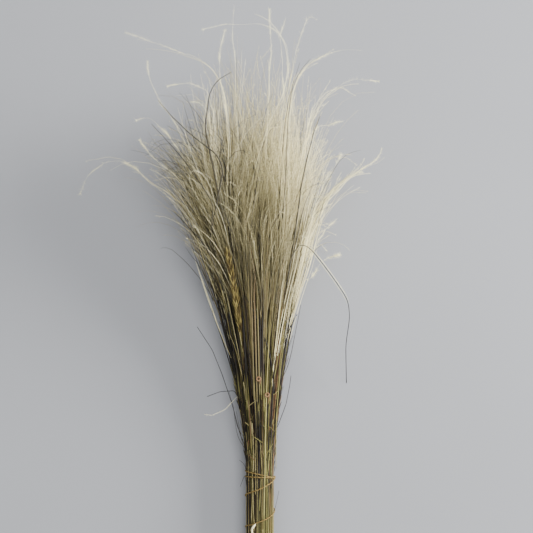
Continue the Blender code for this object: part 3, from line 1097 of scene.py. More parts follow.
    def add_crossing(self) -> None:
        """Thin strands that lie over the culms and drift round the bunch by a small angle."""
        sheet, rng = self.sheet, self.rng
        count, angle = self.crossing, self.sheaf.angle
        start = rng.uniform(*self.crossing_root, (count, 1))
        length = rng.uniform(*self.crossing_length, (count, 1))
        t = np.linspace(0, 1, 14)[None]
        round_by = rng.normal(0, self.crossing_drift, (count, 1)) * length / 0.13
        theta = angle + rng.uniform(-0.25, 0.25, (count, 1)) + round_by * t
        theta = theta + 0.03 * np.sin(6.0 * t + rng.uniform(0, 6.3, (count, 1)))
        station = start + length * t
        reach = rng.uniform(0.95, 0.99, (count, 1)) + 0.05 * np.clip((station - 0.125) / 0.03, 0, 1)
        reach = reach + 0.10 * np.clip((t - 0.8) / 0.2, 0, 1) ** 2 * (station > self.spread_from)
        paths = self.form.flow(reach * np.cos(theta), reach * np.sin(theta), station)
        paths[..., 2] = np.maximum(paths[..., 2], self.floor_gap)
        wide = np.where(rng.random((count, 1)) < self.broad_share, 2.2, 1.0)
        radii = wide * rng.uniform(*self.crossing_radius, (count, 1)) * MM * (1 - 0.6 * t ** 3)
        add_tubes(sheet, paths, radii, self.tones(count), 4, flat=0.5, along=self.along(station))

    def add_end(self, station: float, pixels: tuple, radius: float) -> None:
        """A short broken end that stands off the surface, through marked pixels.

        Args:
            station: Where it is rooted.
            pixels: The pixels.
            radius: Its radius at the root, in mm.
        """
        sheaf = self.sheaf
        root = self.form.flow(0.98 * sheaf.u, 0.98 * sheaf.v, station)
        x, along = self.at_pixel(pixels)
        edge = self.surface(x, along, 1.06)
        edge[:, 2] = np.linspace(root[2] + 3 * MM, edge[:, 2].max() + 2 * MM, len(edge))
        path = rounded(resampled(np.vstack([root, edge]), 24), 8)[None]
        radii = np.linspace(radius * MM, 0.5 * radius * MM, 24)[None]
        tone = self.end_tones[int(self.number in self.straw_ends)]
        add_tubes(self.sheet, path, radii, np.array([tone]), 4)

    def add_curl(self, pixel: tuple) -> None:
        """A dried leaf end rolled into a small ring at a pixel: one and a quarter turns."""
        x, along = self.at_pixel(pixel)
        middle = self.surface(x, along, 1.06) + np.array([0, 0, 2.4 * MM])
        turn = np.linspace(-0.5, 2 * np.pi * 1.25 - 0.5, 26)
        radius = np.linspace(2.9, 1.8, 26) * MM
        ring = middle + np.column_stack([radius * np.cos(turn), radius * np.sin(turn),
                                         1.2 * MM * np.sin(turn / 2)])
        foot = self.surface(x + 1.0 * MM, along - 0.012, 0.99)
        path = rounded(resampled(np.vstack([foot, ring]), 44), 2)[None]
        radii = np.interp(np.linspace(0, 1, 44), (0, 0.4, 0.9, 1), (0.4, 0.85, 0.9, 0.4))[None] * MM
        add_tubes(self.sheet, path, radii, np.array([0.36]), 5, flat=0.6)

    def add_blade(self, pixels: tuple, half: float, tone: float, slot: StemSlot) -> None:
        """A flat dried leaf blade that lies on the surface through marked pixels.

        Args:
            pixels: The pixels.
            half: Half its width, in mm.
            tone: Its tone.
            slot: Material slot.
        """
        x, along = self.at_pixel(pixels)
        path = rounded(resampled(self.surface(x, along, 1.05), 30), 10)[None]
        path = path + np.array([0, 0, 0.8 * MM])
        t = np.linspace(0, 1, 30)[None]
        radii = half * MM * (1 - 0.75 * np.abs(2 * t - 0.8) ** 3.0).clip(0.12, 1)
        add_tubes(self.sheet, path, radii, np.array([tone]), 4, slot=slot, flat=0.22)

    def add_chaff(self) -> None:
        """Short broken bits that lie askew on the stems above the twine."""
        sheaf, sheet, rng = self.sheaf, self.sheet, self.rng
        count = self.chaff
        station = rng.uniform(*self.chaff_station, (count, 1))
        theta = sheaf.angle + rng.uniform(-0.3, 0.3, (count, 1))
        t = np.linspace(-0.5, 0.5, 8)[None]
        length = rng.uniform(*self.chaff_length, (count, 1)) * MM
        skew = rng.normal(0, self.chaff_skew, (count, 1))
        theta = theta + length * np.sin(skew) * t / self.form.waist_radius
        station = station + length * np.cos(skew) * t
        reach = 1.04 + 0.10 * rng.random((count, 1)) * (t + 0.5) ** 2
        paths = self.form.flow(reach * np.cos(theta), reach * np.sin(theta), station)
        paths[..., 2] = np.maximum(paths[..., 2], self.floor_gap)
        radii = rng.uniform(*self.chaff_radius, (count, 1)) * MM * (1 - 0.7 * np.abs(2 * t) ** 3)
        add_tubes(sheet, paths, radii, self.tones(count), 4, flat=0.5)

    def add_culms(self) -> None:
        """Round culms with swollen joints, tapering to their tips, and hollow at the cut."""
        sheaf, sheet, rng = self.sheaf, self.sheet, self.rng
        own = [strand for strand in self.growth.culms if strand.owner == self.number]
        lines = np.array([strand.course for strand in own] + [(sheaf.u, sheaf.v, sheaf.top)])
        count = len(lines)
        tips = lines[:, 2:]
        joints = np.sort(rng.uniform(0.04, 0.9, (count, 2)), axis=1) * tips
        even = np.linspace(0, 1, self.stations)[None] * tips
        near = (joints[:, :, None] + np.array([-1.2, 0.0, 1.2]) * MM).reshape(count, -1)
        stations = np.sort(np.concatenate([even, near], axis=1), axis=1)
        paths = self.form.flow(lines[:, :1], lines[:, 1:2], stations)
        radii = self.culm_radius * rng.uniform(0.85, 1.08, (count, 1)) * np.ones_like(stations)
        radii[-1] *= 1.25
        radii *= 1 - 0.6 * np.clip((stations - self.taper_from) / (tips - self.taper_from), 0, 1)
        swell = np.exp(-((stations[:, :, None] - joints[:, None]) / (1.0 * MM)) ** 2).sum(-1)
        radii *= 1 + 0.22 * swell
        basis = [np.concatenate([side[:, :1], side[:, :1], side], axis=1)
                 for side in frames(paths)[1:]]
        inner = paths[:, :1] + np.array([0, self.hollow, 0])
        paths = np.concatenate([inner, paths[:, :1] + np.array([0, 0.01 * MM, 0]), paths], axis=1)
        radii = np.concatenate([0.5 * radii[:, :1], 0.55 * radii[:, :1], radii], axis=1)
        along = self.along(np.concatenate([np.zeros((count, 2)), stations], axis=1))
        tone = self.painted_inner_shade(self.tones(count), lines[:, 0], lines[:, 1])
        add_tubes(sheet, paths, radii, tone, self.sides, along=along, basis=basis)

    def add_leaves(self) -> None:
        """Thin rolled leaves that run beside the culms and drift a little out of line."""
        sheaf, sheet, rng = self.sheaf, self.sheet, self.rng
        count = self.leaves
        turn = rng.uniform(0, 2 * np.pi, (count, 1))
        reach = rng.uniform(*self.leaf_offset, (count, 1)) * MM / self.form.waist_radius
        u, v = sheaf.u + reach * np.cos(turn), sheaf.v + reach * np.sin(turn)
        shrink = np.minimum(1, 1.03 / np.hypot(u, v))
        u, v = u * shrink, v * shrink
        start = rng.uniform(*self.leaf_root, (count, 1))
        start *= rng.random((count, 1)) < self.raised_share
        tip = rng.uniform(*self.leaf_tip, (count, 1))
        stations = start + (tip - start) * np.linspace(0, 1, 16)
        above = stations - self.spread_from
        drift = np.clip(above / 0.2, 0, 2) ** 2
        out = 0.06 * np.clip(above / 0.08, 0, 1)
        u = u * (1 + out) + rng.normal(0, 0.05, (count, 1)) * drift
        v = v * (1 + out) + rng.normal(0, 0.04, (count, 1)) * drift
        paths = self.form.flow(u, v, stations)
        paths[..., 2] = np.maximum(paths[..., 2], 1.0 * MM)
        share = (stations - start) / (tip - start)
        radii = self.leaf_radius * rng.uniform(0.5, 1.25, (count, 1)) * (1 - 0.75 * share ** 2)
        tone = self.painted_inner_shade(self.tones(count), u[:, 0], v[:, 0])
        add_tubes(sheet, paths, radii, tone, 4, flat=0.6, along=self.along(stations))

    def add_stray(self, strand: Strand) -> None:
        """One stem that stands out of the bunch; the long one has a hairy awn along both its sides."""
        sheet, rng = self.sheet, self.rng
        path = resampled(strand.course, 60)[None]
        if strand.owner != self.long_stray:
            radii = np.linspace(0.5 * MM, 0.36 * MM, 60)[None]
            add_tubes(sheet, path, radii, np.array([0.04]), 5)
            return
        add_tubes(sheet, path, np.full((1, 60), 0.5 * MM), np.array([0.02]), 5)
        white = np.array([0.98])
        for side in (-1.0, 1.0):
            beside = path[:, 24:44] + side * np.array([1.2, 0.9, 0.0]) * MM - 0.4 * MM * UP
            slim = np.interp(np.arange(20), (0, 4, 15, 19), (0.2, 0.3, 0.26, 0.06))[None] * MM
            add_tubes(sheet, beside, slim, white, 4, slot=StemSlot.HAIR)
            hair = rng.uniform(0.1, 0.95, (1, 130))
            length = rng.uniform(1.0, 2.6, hair.shape) * MM
            add_hairs(sheet, beside, white, hair, length, rng, StemSlot.HAIR, 0.12 * MM, (0.3, 1.0))

    def add_wisp(self) -> None:
        """A scrap of pale awn caught on the left of the stems."""
        sheet, rng = self.sheet, self.rng
        path = resampled(self.growth.stray(self.wisp, 9, self.form.culm_offset).course, 40)[None]
        radii = np.linspace(0.2, 0.12, 40)[None] * MM
        add_tubes(sheet, path, radii, np.array([0.9]), 4, slot=StemSlot.HAIR)
        hair = rng.uniform(0.55, 1, (1, 190))
        add_hairs(sheet, path, np.array([0.98]), hair, rng.uniform(1.0, 2.8, hair.shape) * MM,
                  rng, StemSlot.HAIR, 0.14 * MM, (0.2, 0.9))

    def add_gold(self) -> None:
        """The closed golden seed head: spindle spikelets set round its culm, leaning up."""
        sheaf, sheet, rng = self.sheaf, self.sheet, self.rng
        count = self.spikelets
        begin, end = self.growth.gold_stations
        share = np.linspace(0, 1, count)[:, None]
        station = begin + (end - begin) * share
        middle = self.form.flow(sheaf.u, sheaf.v, station)[:, 0]
        middle = middle + share * np.array(self.growth.gold_shift)
        middle[:, 2] += 4.5 * MM * np.clip(share[:, 0] / 0.25, 0, 1)
        ahead = self.form.direction(sheaf.u, sheaf.v, 0.34)
        side = unit(np.cross(ahead, UP))
        lift = np.cross(side, ahead)
        turn = 2.4 * np.arange(count)[:, None] + rng.normal(0, 0.3, (count, 1))
        out = np.cos(turn) * side + np.sin(turn) * lift
        girth = np.interp(share, (0, 0.25, 0.6, 0.9, 1), (0.5, 0.9, 1.0, 0.9, 0.4))
        root = middle + 1.5 * MM * girth * out
        length = rng.uniform(*self.spikelet_length, (count, 1)) * MM
        steps = np.linspace(0, 1, 6)[None, :, None]
        heading = unit(ahead + 0.3 * girth * out + 0.08 * rng.normal(0, 1, (count, 3)))
        paths = root[:, None] + steps * (length * heading)[:, None]
        radii = 0.8 * MM * np.array([0.35, 0.9, 1.0, 0.75, 0.4, 0.08])[None] * np.ones((count, 1))
        add_tubes(sheet, paths, radii, rng.uniform(0, 1, count), 5, slot=StemSlot.GOLD, flat=0.6)
        bristles = rng.uniform(0.5, 1, (count, 2))
        add_hairs(sheet, paths, rng.uniform(0.5, 1, count), bristles,
                  rng.uniform(*self.bristle_length, (count, 2)) * MM, rng, StemSlot.GOLD,
                  0.12 * MM, (0.1, 0.5))


@dataclass(frozen=True)
class Coat:
    """How an awn is clothed: its thickness, its share of dark ones, and two kinds of hairs."""

    girth: float
    dark: float
    plumy: float
    hairs: int
    longest: float
    few: int
    short: float
    width: float


class Cover(Enum):
    """The kinds of awn: silky ones that fill the head, streaks low among the culms, white ones on
    the right flank, loose ones that fan out, single wisps with plumy tufts, and dark bare lines."""

    SILKY = Coat(1.0, 0.07, 0.3, 200, 3.4 * MM, 60, 1.5 * MM, 0.13 * MM)
    STREAK = Coat(1.1, 0.0, 0.3, 110, 2.4 * MM, 40, 1.3 * MM, 0.12 * MM)
    FLANK = Coat(1.15, 0.06, 0.9, 240, 3.2 * MM, 80, 1.5 * MM, 0.15 * MM)
    FAN = Coat(0.95, 0.34, 0.4, 150, 2.6 * MM, 50, 1.3 * MM, 0.13 * MM)
    PLUMY = Coat(0.6, 0.0, 1.0, 900, 5.0 * MM, 0, 1.0 * MM, 0.13 * MM)
    DARK = Coat(2.0, 9.0, 0.0, 0, 1.0 * MM, 0, 1.0 * MM, 0.1 * MM)


@dataclass
class Plume(Part):
    """One plume: its rachis, papery glumes, and fine hairy awns gathered along the model's awns."""

    seed: int = 2000
    bundle: int = 17
    stations: int = 14
    thread_radius: float = 0.29 * MM
    reach: float = 6.5 * MM
    longest: float = 0.12
    low: float = 0.3 * MM
    high: float = 154 * MM
    widest: tuple = (-230 * MM, 160 * MM)
    # The head's outline: station along y, left edge and right edge, in mm
    outline: tuple = ((380, -86, 86), (440, -112, 92), (480, -136, 92), (540, -152, 86),
                      (580, -134, 76), (620, -112, 64), (700, -100, 50))
    streaks: int = 16
    flank_streaks: tuple = (22, 38)
    fans: tuple = (11, 4)
    gathers: dict = field(default_factory=lambda: {4: 26, 5: 6, 6: 7, 7: 3, 8: 2})
    tufts: int = 18
    # Fine awns: lengths as shares of the model's awn, strong curls, and those kept past the outline
    loose_length: tuple = (0.4, 0.92)
    full_length: tuple = (0.58, 1.0)
    strong_share: float = 0.24
    strong_curl: tuple = (0.7, 2.4)
    stray_share: float = 0.3
    # Loose awns on the head's flanks: stations of the root, lengths and spread
    fan_root: tuple = (0.31, 0.45)
    fan_length: tuple = (0.10, 0.25)
    fan_spread: tuple = (0.02, 0.5)
    # Awns low among the culms: stations of the root and tip, and how far out a flank begins
    streak_root: tuple = (0.20, 0.29)
    streak_tip: tuple = (0.42, 0.56)
    flank_from: float = 0.6
    # Tones, and the shares of pale and dim awns
    pale_share: float = 0.28
    pale_tones: tuple = (0.75, 0.98)
    white_tones: tuple = (0.82, 0.99)
    dim_share: float = 0.12
    dim_tones: tuple = (0.4, 0.7)
    dark_tones: tuple = (0.0, 0.09)
    left_fluff: float = 0.55
    # Lengths of the glumes in mm
    glume_length: tuple = (38, 62)
    # Single strands: sheaf, station of the root, pixels, and heights in mm at the middle and tip
    wisps: tuple = (
        (9, 0.40, ((216, 150), (214, 115), (207, 92), (190, 83), (169, 88)), 100, 92),
        (10, 0.40, ((212, 150), (211, 118), (200, 104), (188, 103)), 90, 85),
        (10, 0.40, ((197, 165), (177, 126), (160, 103), (151, 80), (149, 64)), 92, 96),
        (11, 0.39, ((180, 150), (168, 135), (150, 118), (137, 120)), 70, 60),
        (11, 0.38, ((188, 190), (170, 170), (152, 158), (140, 140)), 60, 48),
        (9, 0.41, ((230, 140), (224, 100), (219, 70), (221, 48), (226, 34)), 110, 112),
        (7, 0.41, ((280, 140), (284, 95), (281, 60), (280, 38), (286, 21)), 112, 120),
        (5, 0.40, ((300, 170), (306, 140), (318, 127), (331, 126), (343, 122)), 84, 80),
        (5, 0.40, ((302, 150), (312, 110), (326, 92), (340, 88), (354, 97)), 90, 84),
        (5, 0.36, ((306, 235), (316, 205), (327, 178), (341, 156)), 66, 72),
        (5, 0.35, ((308, 262), (318, 240), (327, 228), (337, 219)), 62, 60),
        (4, 0.34, ((309, 280), (322, 262), (331, 256), (340, 255)), 50, 44),
    )
    lines: tuple = (
        (6, 0.41, ((286, 160), (287, 125), (291, 95), (299, 75), (309, 63)), 150, 150),
        (5, 0.40, ((300, 190), (306, 160), (313, 135), (319, 119)), 144, 142),
        (9, 0.41, ((206, 130), (210, 98), (218, 84), (232, 76)), 148, 148),
        (11, 0.38, ((214, 205), (205, 190), (180, 155), (153, 126)), 132, 118),
        (10, 0.40, ((224, 170), (217, 156), (192, 137), (172, 118), (160, 103)), 144, 134),
        (12, 0.33, ((214, 262), (205, 245), (188, 226), (175, 213)), 100, 84),
        (5, 0.36, ((294, 250), (300, 222), (304, 205), (312, 185)), 136, 126),
    )

    @property
    def name(self) -> str:
        """The model's node that this plume stands for."""
        return f"plume_{self.number + 1:02d}"

    def build(self, materials: dict[Finish, bpy.types.Material]) -> bpy.types.Object:
        """Makes the piece.

        Args:
            materials: The finishes.

        Returns:
            The piece that replaces the plume's node.
        """
        courses = [s.course for s in self.growth.threads if s.owner == self.number]
        self.add_rachis()
        if courses:
            paths = self.threads(stacked(courses, self.stations, self.longest))
            self.add_awns(paths, Cover.SILKY)
            self.add_glumes(paths[::5])
        right = self.sheaf.u > 0.55
        self.add_awns(self.streak_paths(), Cover.FLANK if right else Cover.STREAK)
        self.add_awns(self.fan_paths(), Cover.FAN)
        singles = [s.course for s in self.growth.singles if s.owner == self.number]
        if singles:
            count = self.gathers.get(self.number, 2)
            self.add_awns(self.gathered(stacked(singles, 48), count), Cover.FLANK)
        singles += self.drawn(self.wisps)
        if singles:
            self.add_awns(waved(stacked(singles, 48), 1.6 * MM, self.rng), Cover.PLUMY)
        lines = self.drawn(self.lines)
        if lines:
            self.add_awns(waved(stacked(lines, 32), 0.5 * MM, self.rng), Cover.DARK)
        slots = [materials[Finish[slot.name]] for slot in PlumeSlot]
        return self.sheet.piece(f"awns_{self.number + 1:02d}", slots)

    def drawn(self, entries: tuple) -> list[Array]:
        """Courses of those single strands in a list that grow from this plume."""
        own = [entry for entry in entries if entry[0] == self.number]
        return [self.growth.stray(entry, 9, 0.0).course for entry in own]

    def gathered(self, courses: Array, count: int) -> Array:
        """Strands that close up along each course: the offset is 0.14 + 0.86 * (1 - t) ** 1.5 of it.

        Args:
            courses: The model's long awns, shaped (awns, stations, 3).
            count: Strands for each.

        Returns:
            Their points, shaped (awns * count, stations, 3).
        """
        rng, stations = self.rng, courses.shape[1]
        base = np.repeat(courses, count, axis=0)
        t = np.linspace(0, 1, stations)[None]
        _, *sides = frames(base)
        for side in sides:
            offset = rng.normal(0, 4.0 * MM, (len(base), 1)) * (0.14 + 0.86 * (1 - t) ** 1.5)
            base = base + offset[..., None] * side
        share = rng.uniform(0.62, 1.0, (len(base), 1))
        cut = [resampled(path[:int(stations * part[0])], stations) for path, part in zip(base, share)]
        base = waved(np.stack(cut), 1.2 * MM, rng)
        curl, start = rng.normal(0, 0.35, len(base)), rng.uniform(0.6, 0.9, len(base))
        curled = turned(base, curl, start, np.broadcast_to(UP, (len(base), 3)))
        return held(curled, self.low, self.high)

    def threads(self, courses: Array) -> Array:
        """Fine strands round each course: an offset that grows with t, waves, and a curled end.

        Args:
            courses: The model's awns, shaped (awns, stations, 3).

        Returns:
            Their points, shaped (strands, stations, 3).
        """
        rng, count, reach = self.rng, self.bundle, self.reach
        awns, stations, _ = courses.shape
        ahead, across, over = frames(courses)
        total = awns * count
        base = np.repeat(courses, count, axis=0)
        side, lift = np.repeat(across, count, axis=0), np.repeat(over, count, axis=0)
        bent = (ahead[:, 0] * ahead[:, -1]).sum(-1) < 0.8
        loose = np.repeat(bent, count)[:, None]
        t = np.linspace(0, 1, stations)[None]
        share = np.where(loose, rng.uniform(*self.loose_length, (total, 1)),
                         rng.uniform(*self.full_length, (total, 1)))
        spot = t * share * (stations - 1)
        low = np.minimum(spot.astype(int), stations - 2)
        part = (spot - low)[..., None]
        pick = np.arange(total)[:, None]
        base = base[pick, low] * (1 - part) + base[pick, low + 1] * part
        side, lift = side[pick, low], lift[pick, low]
        widen = (0.3 * reach + 0.95 * reach * t ** 1.2) * np.where(loose, 1.5, 1.0)
        wave = rng.uniform(0.3, 1.6, (2, total, 1)) * MM * t
        beat, phase = rng.uniform(0.8, 2.2, (2, total, 1)), rng.uniform(0, 6.3, (2, total, 1))
        offset = rng.normal(0, 1, (2, total, 1)) * widen
        offset += wave * np.sin(2 * np.pi * beat * t + phase)
        points = base + offset[0][..., None] * side + offset[1][..., None] * lift
        strong = (rng.random(total) < self.strong_share) & ~loose[:, 0]
        turn = np.where(strong, rng.uniform(*self.strong_curl, total),
                        np.abs(rng.normal(0, 0.32, total)))
        outward = -np.sign(points[:, -1, 0] + 12 * MM)
        outward *= np.where(rng.random(total) < 0.7, 1, -1)
        axis = rng.normal(0, 0.5, (total, 3)) + UP
        points = turned(points, outward * turn, rng.uniform(0.2, 0.7, total), axis)
        return self.within(points, self.stray_share)

    def fan_paths(self) -> Array:
        """Loose awns that leave the head's flanks at a wide angle and bend a little further out.

        Returns:
            Their points, shaped (strands, stations, 3).
        """
        sheaf, rng = self.sheaf, self.rng
        count = self.fans[0] if sheaf.u < -0.15 else self.fans[1] if sheaf.u > 0.3 else 1
        side = -1.0 if sheaf.u < 0 else 1.0
        station = rng.uniform(*self.fan_root, (count, 1))
        root = self.form.flow(sheaf.u, sheaf.v, station)
        root = root + rng.normal(0, 2.0 * MM, (count, 1, 3))
        ahead = self.form.direction(sheaf.u, sheaf.v, 0.38)
        spread = side * rng.uniform(*self.fan_spread, count)
        heading = unit(ahead + np.column_stack([spread, np.zeros(count), rng.normal(0, 0.09, count)]))
        length = rng.uniform(*self.fan_length, (count, 1, 1))
        paths = root + length * heading[:, None] * np.linspace(0, 1, self.stations)[None, :, None]
        turn = -side * np.where(rng.random(count) < 0.4, rng.uniform(0.9, 2.2, count),
                                rng.uniform(-0.2, 0.7, count))
        axis = rng.normal(0, 0.3, (count, 3)) + UP
        return self.within(turned(paths, turn, rng.uniform(-0.3, 0.5, count), axis), 0.0)

    def within(self, paths: Array, stay: float) -> Array:
        """The paths inside the head's outline, and a share of the others.

        Args:
            paths: Points, shaped (strands, stations, 3).
            stay: The share of the others that is kept.

        Returns:
            Those paths, held above the floor.
        """
        along, left, right = MM * np.array(self.outline, float).T
        x, y = paths[..., 0], paths[..., 1]
        inside = (x > np.interp(y, along, left)) & (x < np.interp(y, along, right))
        kept = inside.all(axis=1) | (self.rng.random(len(paths)) < stay)
        return held(paths[kept], self.low, self.high)

    def streak_paths(self) -> Array:
        """Awns that come out low among the culms and follow the bunch's own lines, a little wide.

        Returns:
            Their points, shaped (strands, stations, 3).
        """
        sheaf, rng = self.sheaf, self.rng
        flank = abs(sheaf.u) > self.flank_from
        count = self.flank_streaks[int(sheaf.u > 0)] if flank else self.streaks
        start = rng.uniform(*self.streak_root, (count, 1))
        tip = rng.uniform(*self.streak_tip, (count, 1))
        late = 0.055 + 0.12 * max(sheaf.v, 0)
        start = start + (late if flank else 0.0)
        station = start + (tip - start) * np.linspace(0, 1, self.stations)
        wide = rng.uniform(0.02, 0.44 if sheaf.u > 0 else 0.18, (count, 1))
        wide[rng.random(count) < (0.3 if sheaf.u < -self.flank_from else 0.0)] = 0.38
        wide = 1 + wide * np.clip((station - 0.22) / 0.16, 0, 1)
        u = (sheaf.u + rng.normal(0, 0.07, (count, 1))) * wide
        v = (sheaf.v + rng.normal(0, 0.07, (count, 1))) * wide
        paths = self.form.flow(u, v, station)
        curl = np.where(rng.random(count) < 0.45, rng.uniform(0.5, 2.4, count), 0.15)
        axis = rng.normal(0, 0.3, (count, 3)) + UP
        paths = turned(paths, -np.sign(sheaf.u) * curl, rng.uniform(0.55, 0.85, count), axis)
        return self.within(paths, 0.0)

    def add_awns(self, paths: Array, cover: Cover) -> None:
        """Fine awns with their hairs, longer and closer toward the tip.

        Args:
            paths: Their points.
            cover: How thick and how hairy they are.
        """
        sheaf, sheet, rng, coat = self.sheaf, self.sheet, self.rng, cover.value
        x = paths[..., 0]
        paths = paths[(x.min(axis=1) > self.widest[0]) & (x.max(axis=1) < self.widest[1])]
        count, stations, _ = paths.shape
        t = np.linspace(0, 1, stations)[None]
        girth = rng.uniform(0.75, 1.25, (count, 1))
        radii = coat.girth * self.thread_radius * girth * (1.1 - 0.85 * t ** 1.5)
        # Painted light and shade: awns get paler tones toward the bunch's right side and darker ones
        # in the middle and on the left
        tone = np.clip(rng.normal(0.39 + 0.35 * max(sheaf.u, -0.2), 0.08, count), 0.12, 0.98)
        pale = rng.random(count) < (self.pale_share if sheaf.u < -0.3 else 0.0)
        tone[pale] = rng.uniform(*self.pale_tones, pale.sum())
        slot, along = PlumeSlot.AWN, None
        # Wisps and flank awns are near white: the plumes' own colour, and on the right flank partly
        # painted light as well
        if cover in (Cover.PLUMY, Cover.FLANK):
            tone = rng.uniform(*self.white_tones, count)
        if cover is Cover.FLANK:
            dim = rng.random(count) < self.dim_share
            tone[dim] = rng.uniform(*self.dim_tones, dim.sum())
            radii = radii * np.interp(t, (0, 0.3), (0.25, 1.0))
            slot, along = PlumeSlot.BLADE, np.broadcast_to(0.7 + 0.3 * t, radii.shape)
        if cover is Cover.STREAK:
            kind = rng.random(count) - (0.14 if sheaf.u < -0.7 else 0.04 if sheaf.u < -0.4 else 0.0)
            fair = rng.uniform(0.8, 0.98, count) - (0.2 if abs(sheaf.u) < 0.4 else 0.0)
            tone = np.where(kind < 0.14, fair, rng.uniform(0.3, 0.6, count))
            # Painted shade: more of the streaks on the bunch's left side are made dark
            dim_from = 0.45 if sheaf.u < -0.4 else 0.66
            tone = np.where(kind > dim_from, rng.uniform(0.02, 0.2, count), tone)
            slot, along = PlumeSlot.BLADE, np.broadcast_to(1 - t, radii.shape)
        # Dark awns are partly the grass's own dark strands, partly painted shade: their share is
        # doubled on the bunch's left side
        dark = rng.random(count) < coat.dark * (1.6 if sheaf.u < -0.2 else 0.8)
        tone[dark] = rng.uniform(*self.dark_tones, dark.sum())
        radii[dark] *= 1.45 + 0.95 * t
        add_tubes(sheet, paths, radii, tone, 3, slot=slot, along=along)
        clothed = rng.permutation(np.flatnonzero(~dark))
        split = int(len(clothed) * coat.plumy)
        fluff = self.left_fluff if sheaf.u < -0.3 and cover is not Cover.PLUMY else 1.0
        for chosen, hairs, longest in ((clothed[:split], int(fluff * coat.hairs), coat.longest),
                                       (clothed[split:], int(fluff * coat.few), coat.short)):
            places = 1 - 0.8 * rng.random((len(chosen), hairs)) ** 1.3
            if cover is Cover.PLUMY:
                tufts = 1 - 0.62 * rng.random((len(chosen), self.tufts)) ** 1.1
                tuft = (self.tufts * rng.random(places.shape) ** 1.7).astype(int)
                places = np.take_along_axis(tufts, tuft, 1) + rng.normal(0, 0.016, places.shape)
                places = np.clip(places, 0, 1)
                longest = longest * np.take_along_axis(rng.uniform(0.3, 1.4, tufts.shape), tuft, 1)
            length = longest * rng.uniform(0.4, 1.1, places.shape) * np.clip(places * 1.5, 0.25, 1)
            splay = (0.4, 1.25) if cover is Cover.PLUMY else (0.3, 0.85)
            add_hairs(sheet, paths[chosen], np.clip(tone[chosen] + 0.25, 0, 1), places, length, rng,
                      PlumeSlot.HAIR, coat.width, splay)

    def add_rachis(self) -> None:
        """The slim axis that carries the awns."""
        sheaf = self.sheaf
        stations = np.linspace(sheaf.top + 0.4 * MM, sheaf.end, 12)[None]
        path = self.form.flow(sheaf.u, sheaf.v, stations)
        radii = np.linspace(0.7 * MM, 0.25 * MM, 12)[None]
        add_tubes(self.sheet, path, radii, np.array([0.3]), 5)

    def add_glumes(self, paths: Array) -> None:
        """Long papery glumes: flat blades that sheathe the awns' roots and end in a point.

        Args:
            paths: Awns whose roots they sheathe.
        """
        rng, count = self.rng, len(paths)
        step = unit(paths[:, 1] - paths[:, 0])
        length = rng.uniform(*self.glume_length, (count, 1)) * MM
        heading = unit(step + 0.06 * rng.normal(0, 1, step.shape))
        t = np.linspace(0, 1, 8)[None, :, None]
        blades = paths[:, :1] - 4 * MM * step[:, None] + t * (length * heading)[:, None]
        blades = held(blades, self.low, self.high)
        radii = 0.8 * MM * np.array([0.4, 0.9, 1.0, 0.95, 0.75, 0.5, 0.25, 0.06])[None]
        # Painted light: glumes on the bunch's right side are made paler
        tone = rng.uniform(0.05, 0.5, count) + 0.2 * max(self.sheaf.u, 0)
        radii = radii * np.ones((count, 1))
        add_tubes(self.sheet, blades, radii, tone, 4, slot=PlumeSlot.GLUME, flat=0.22)


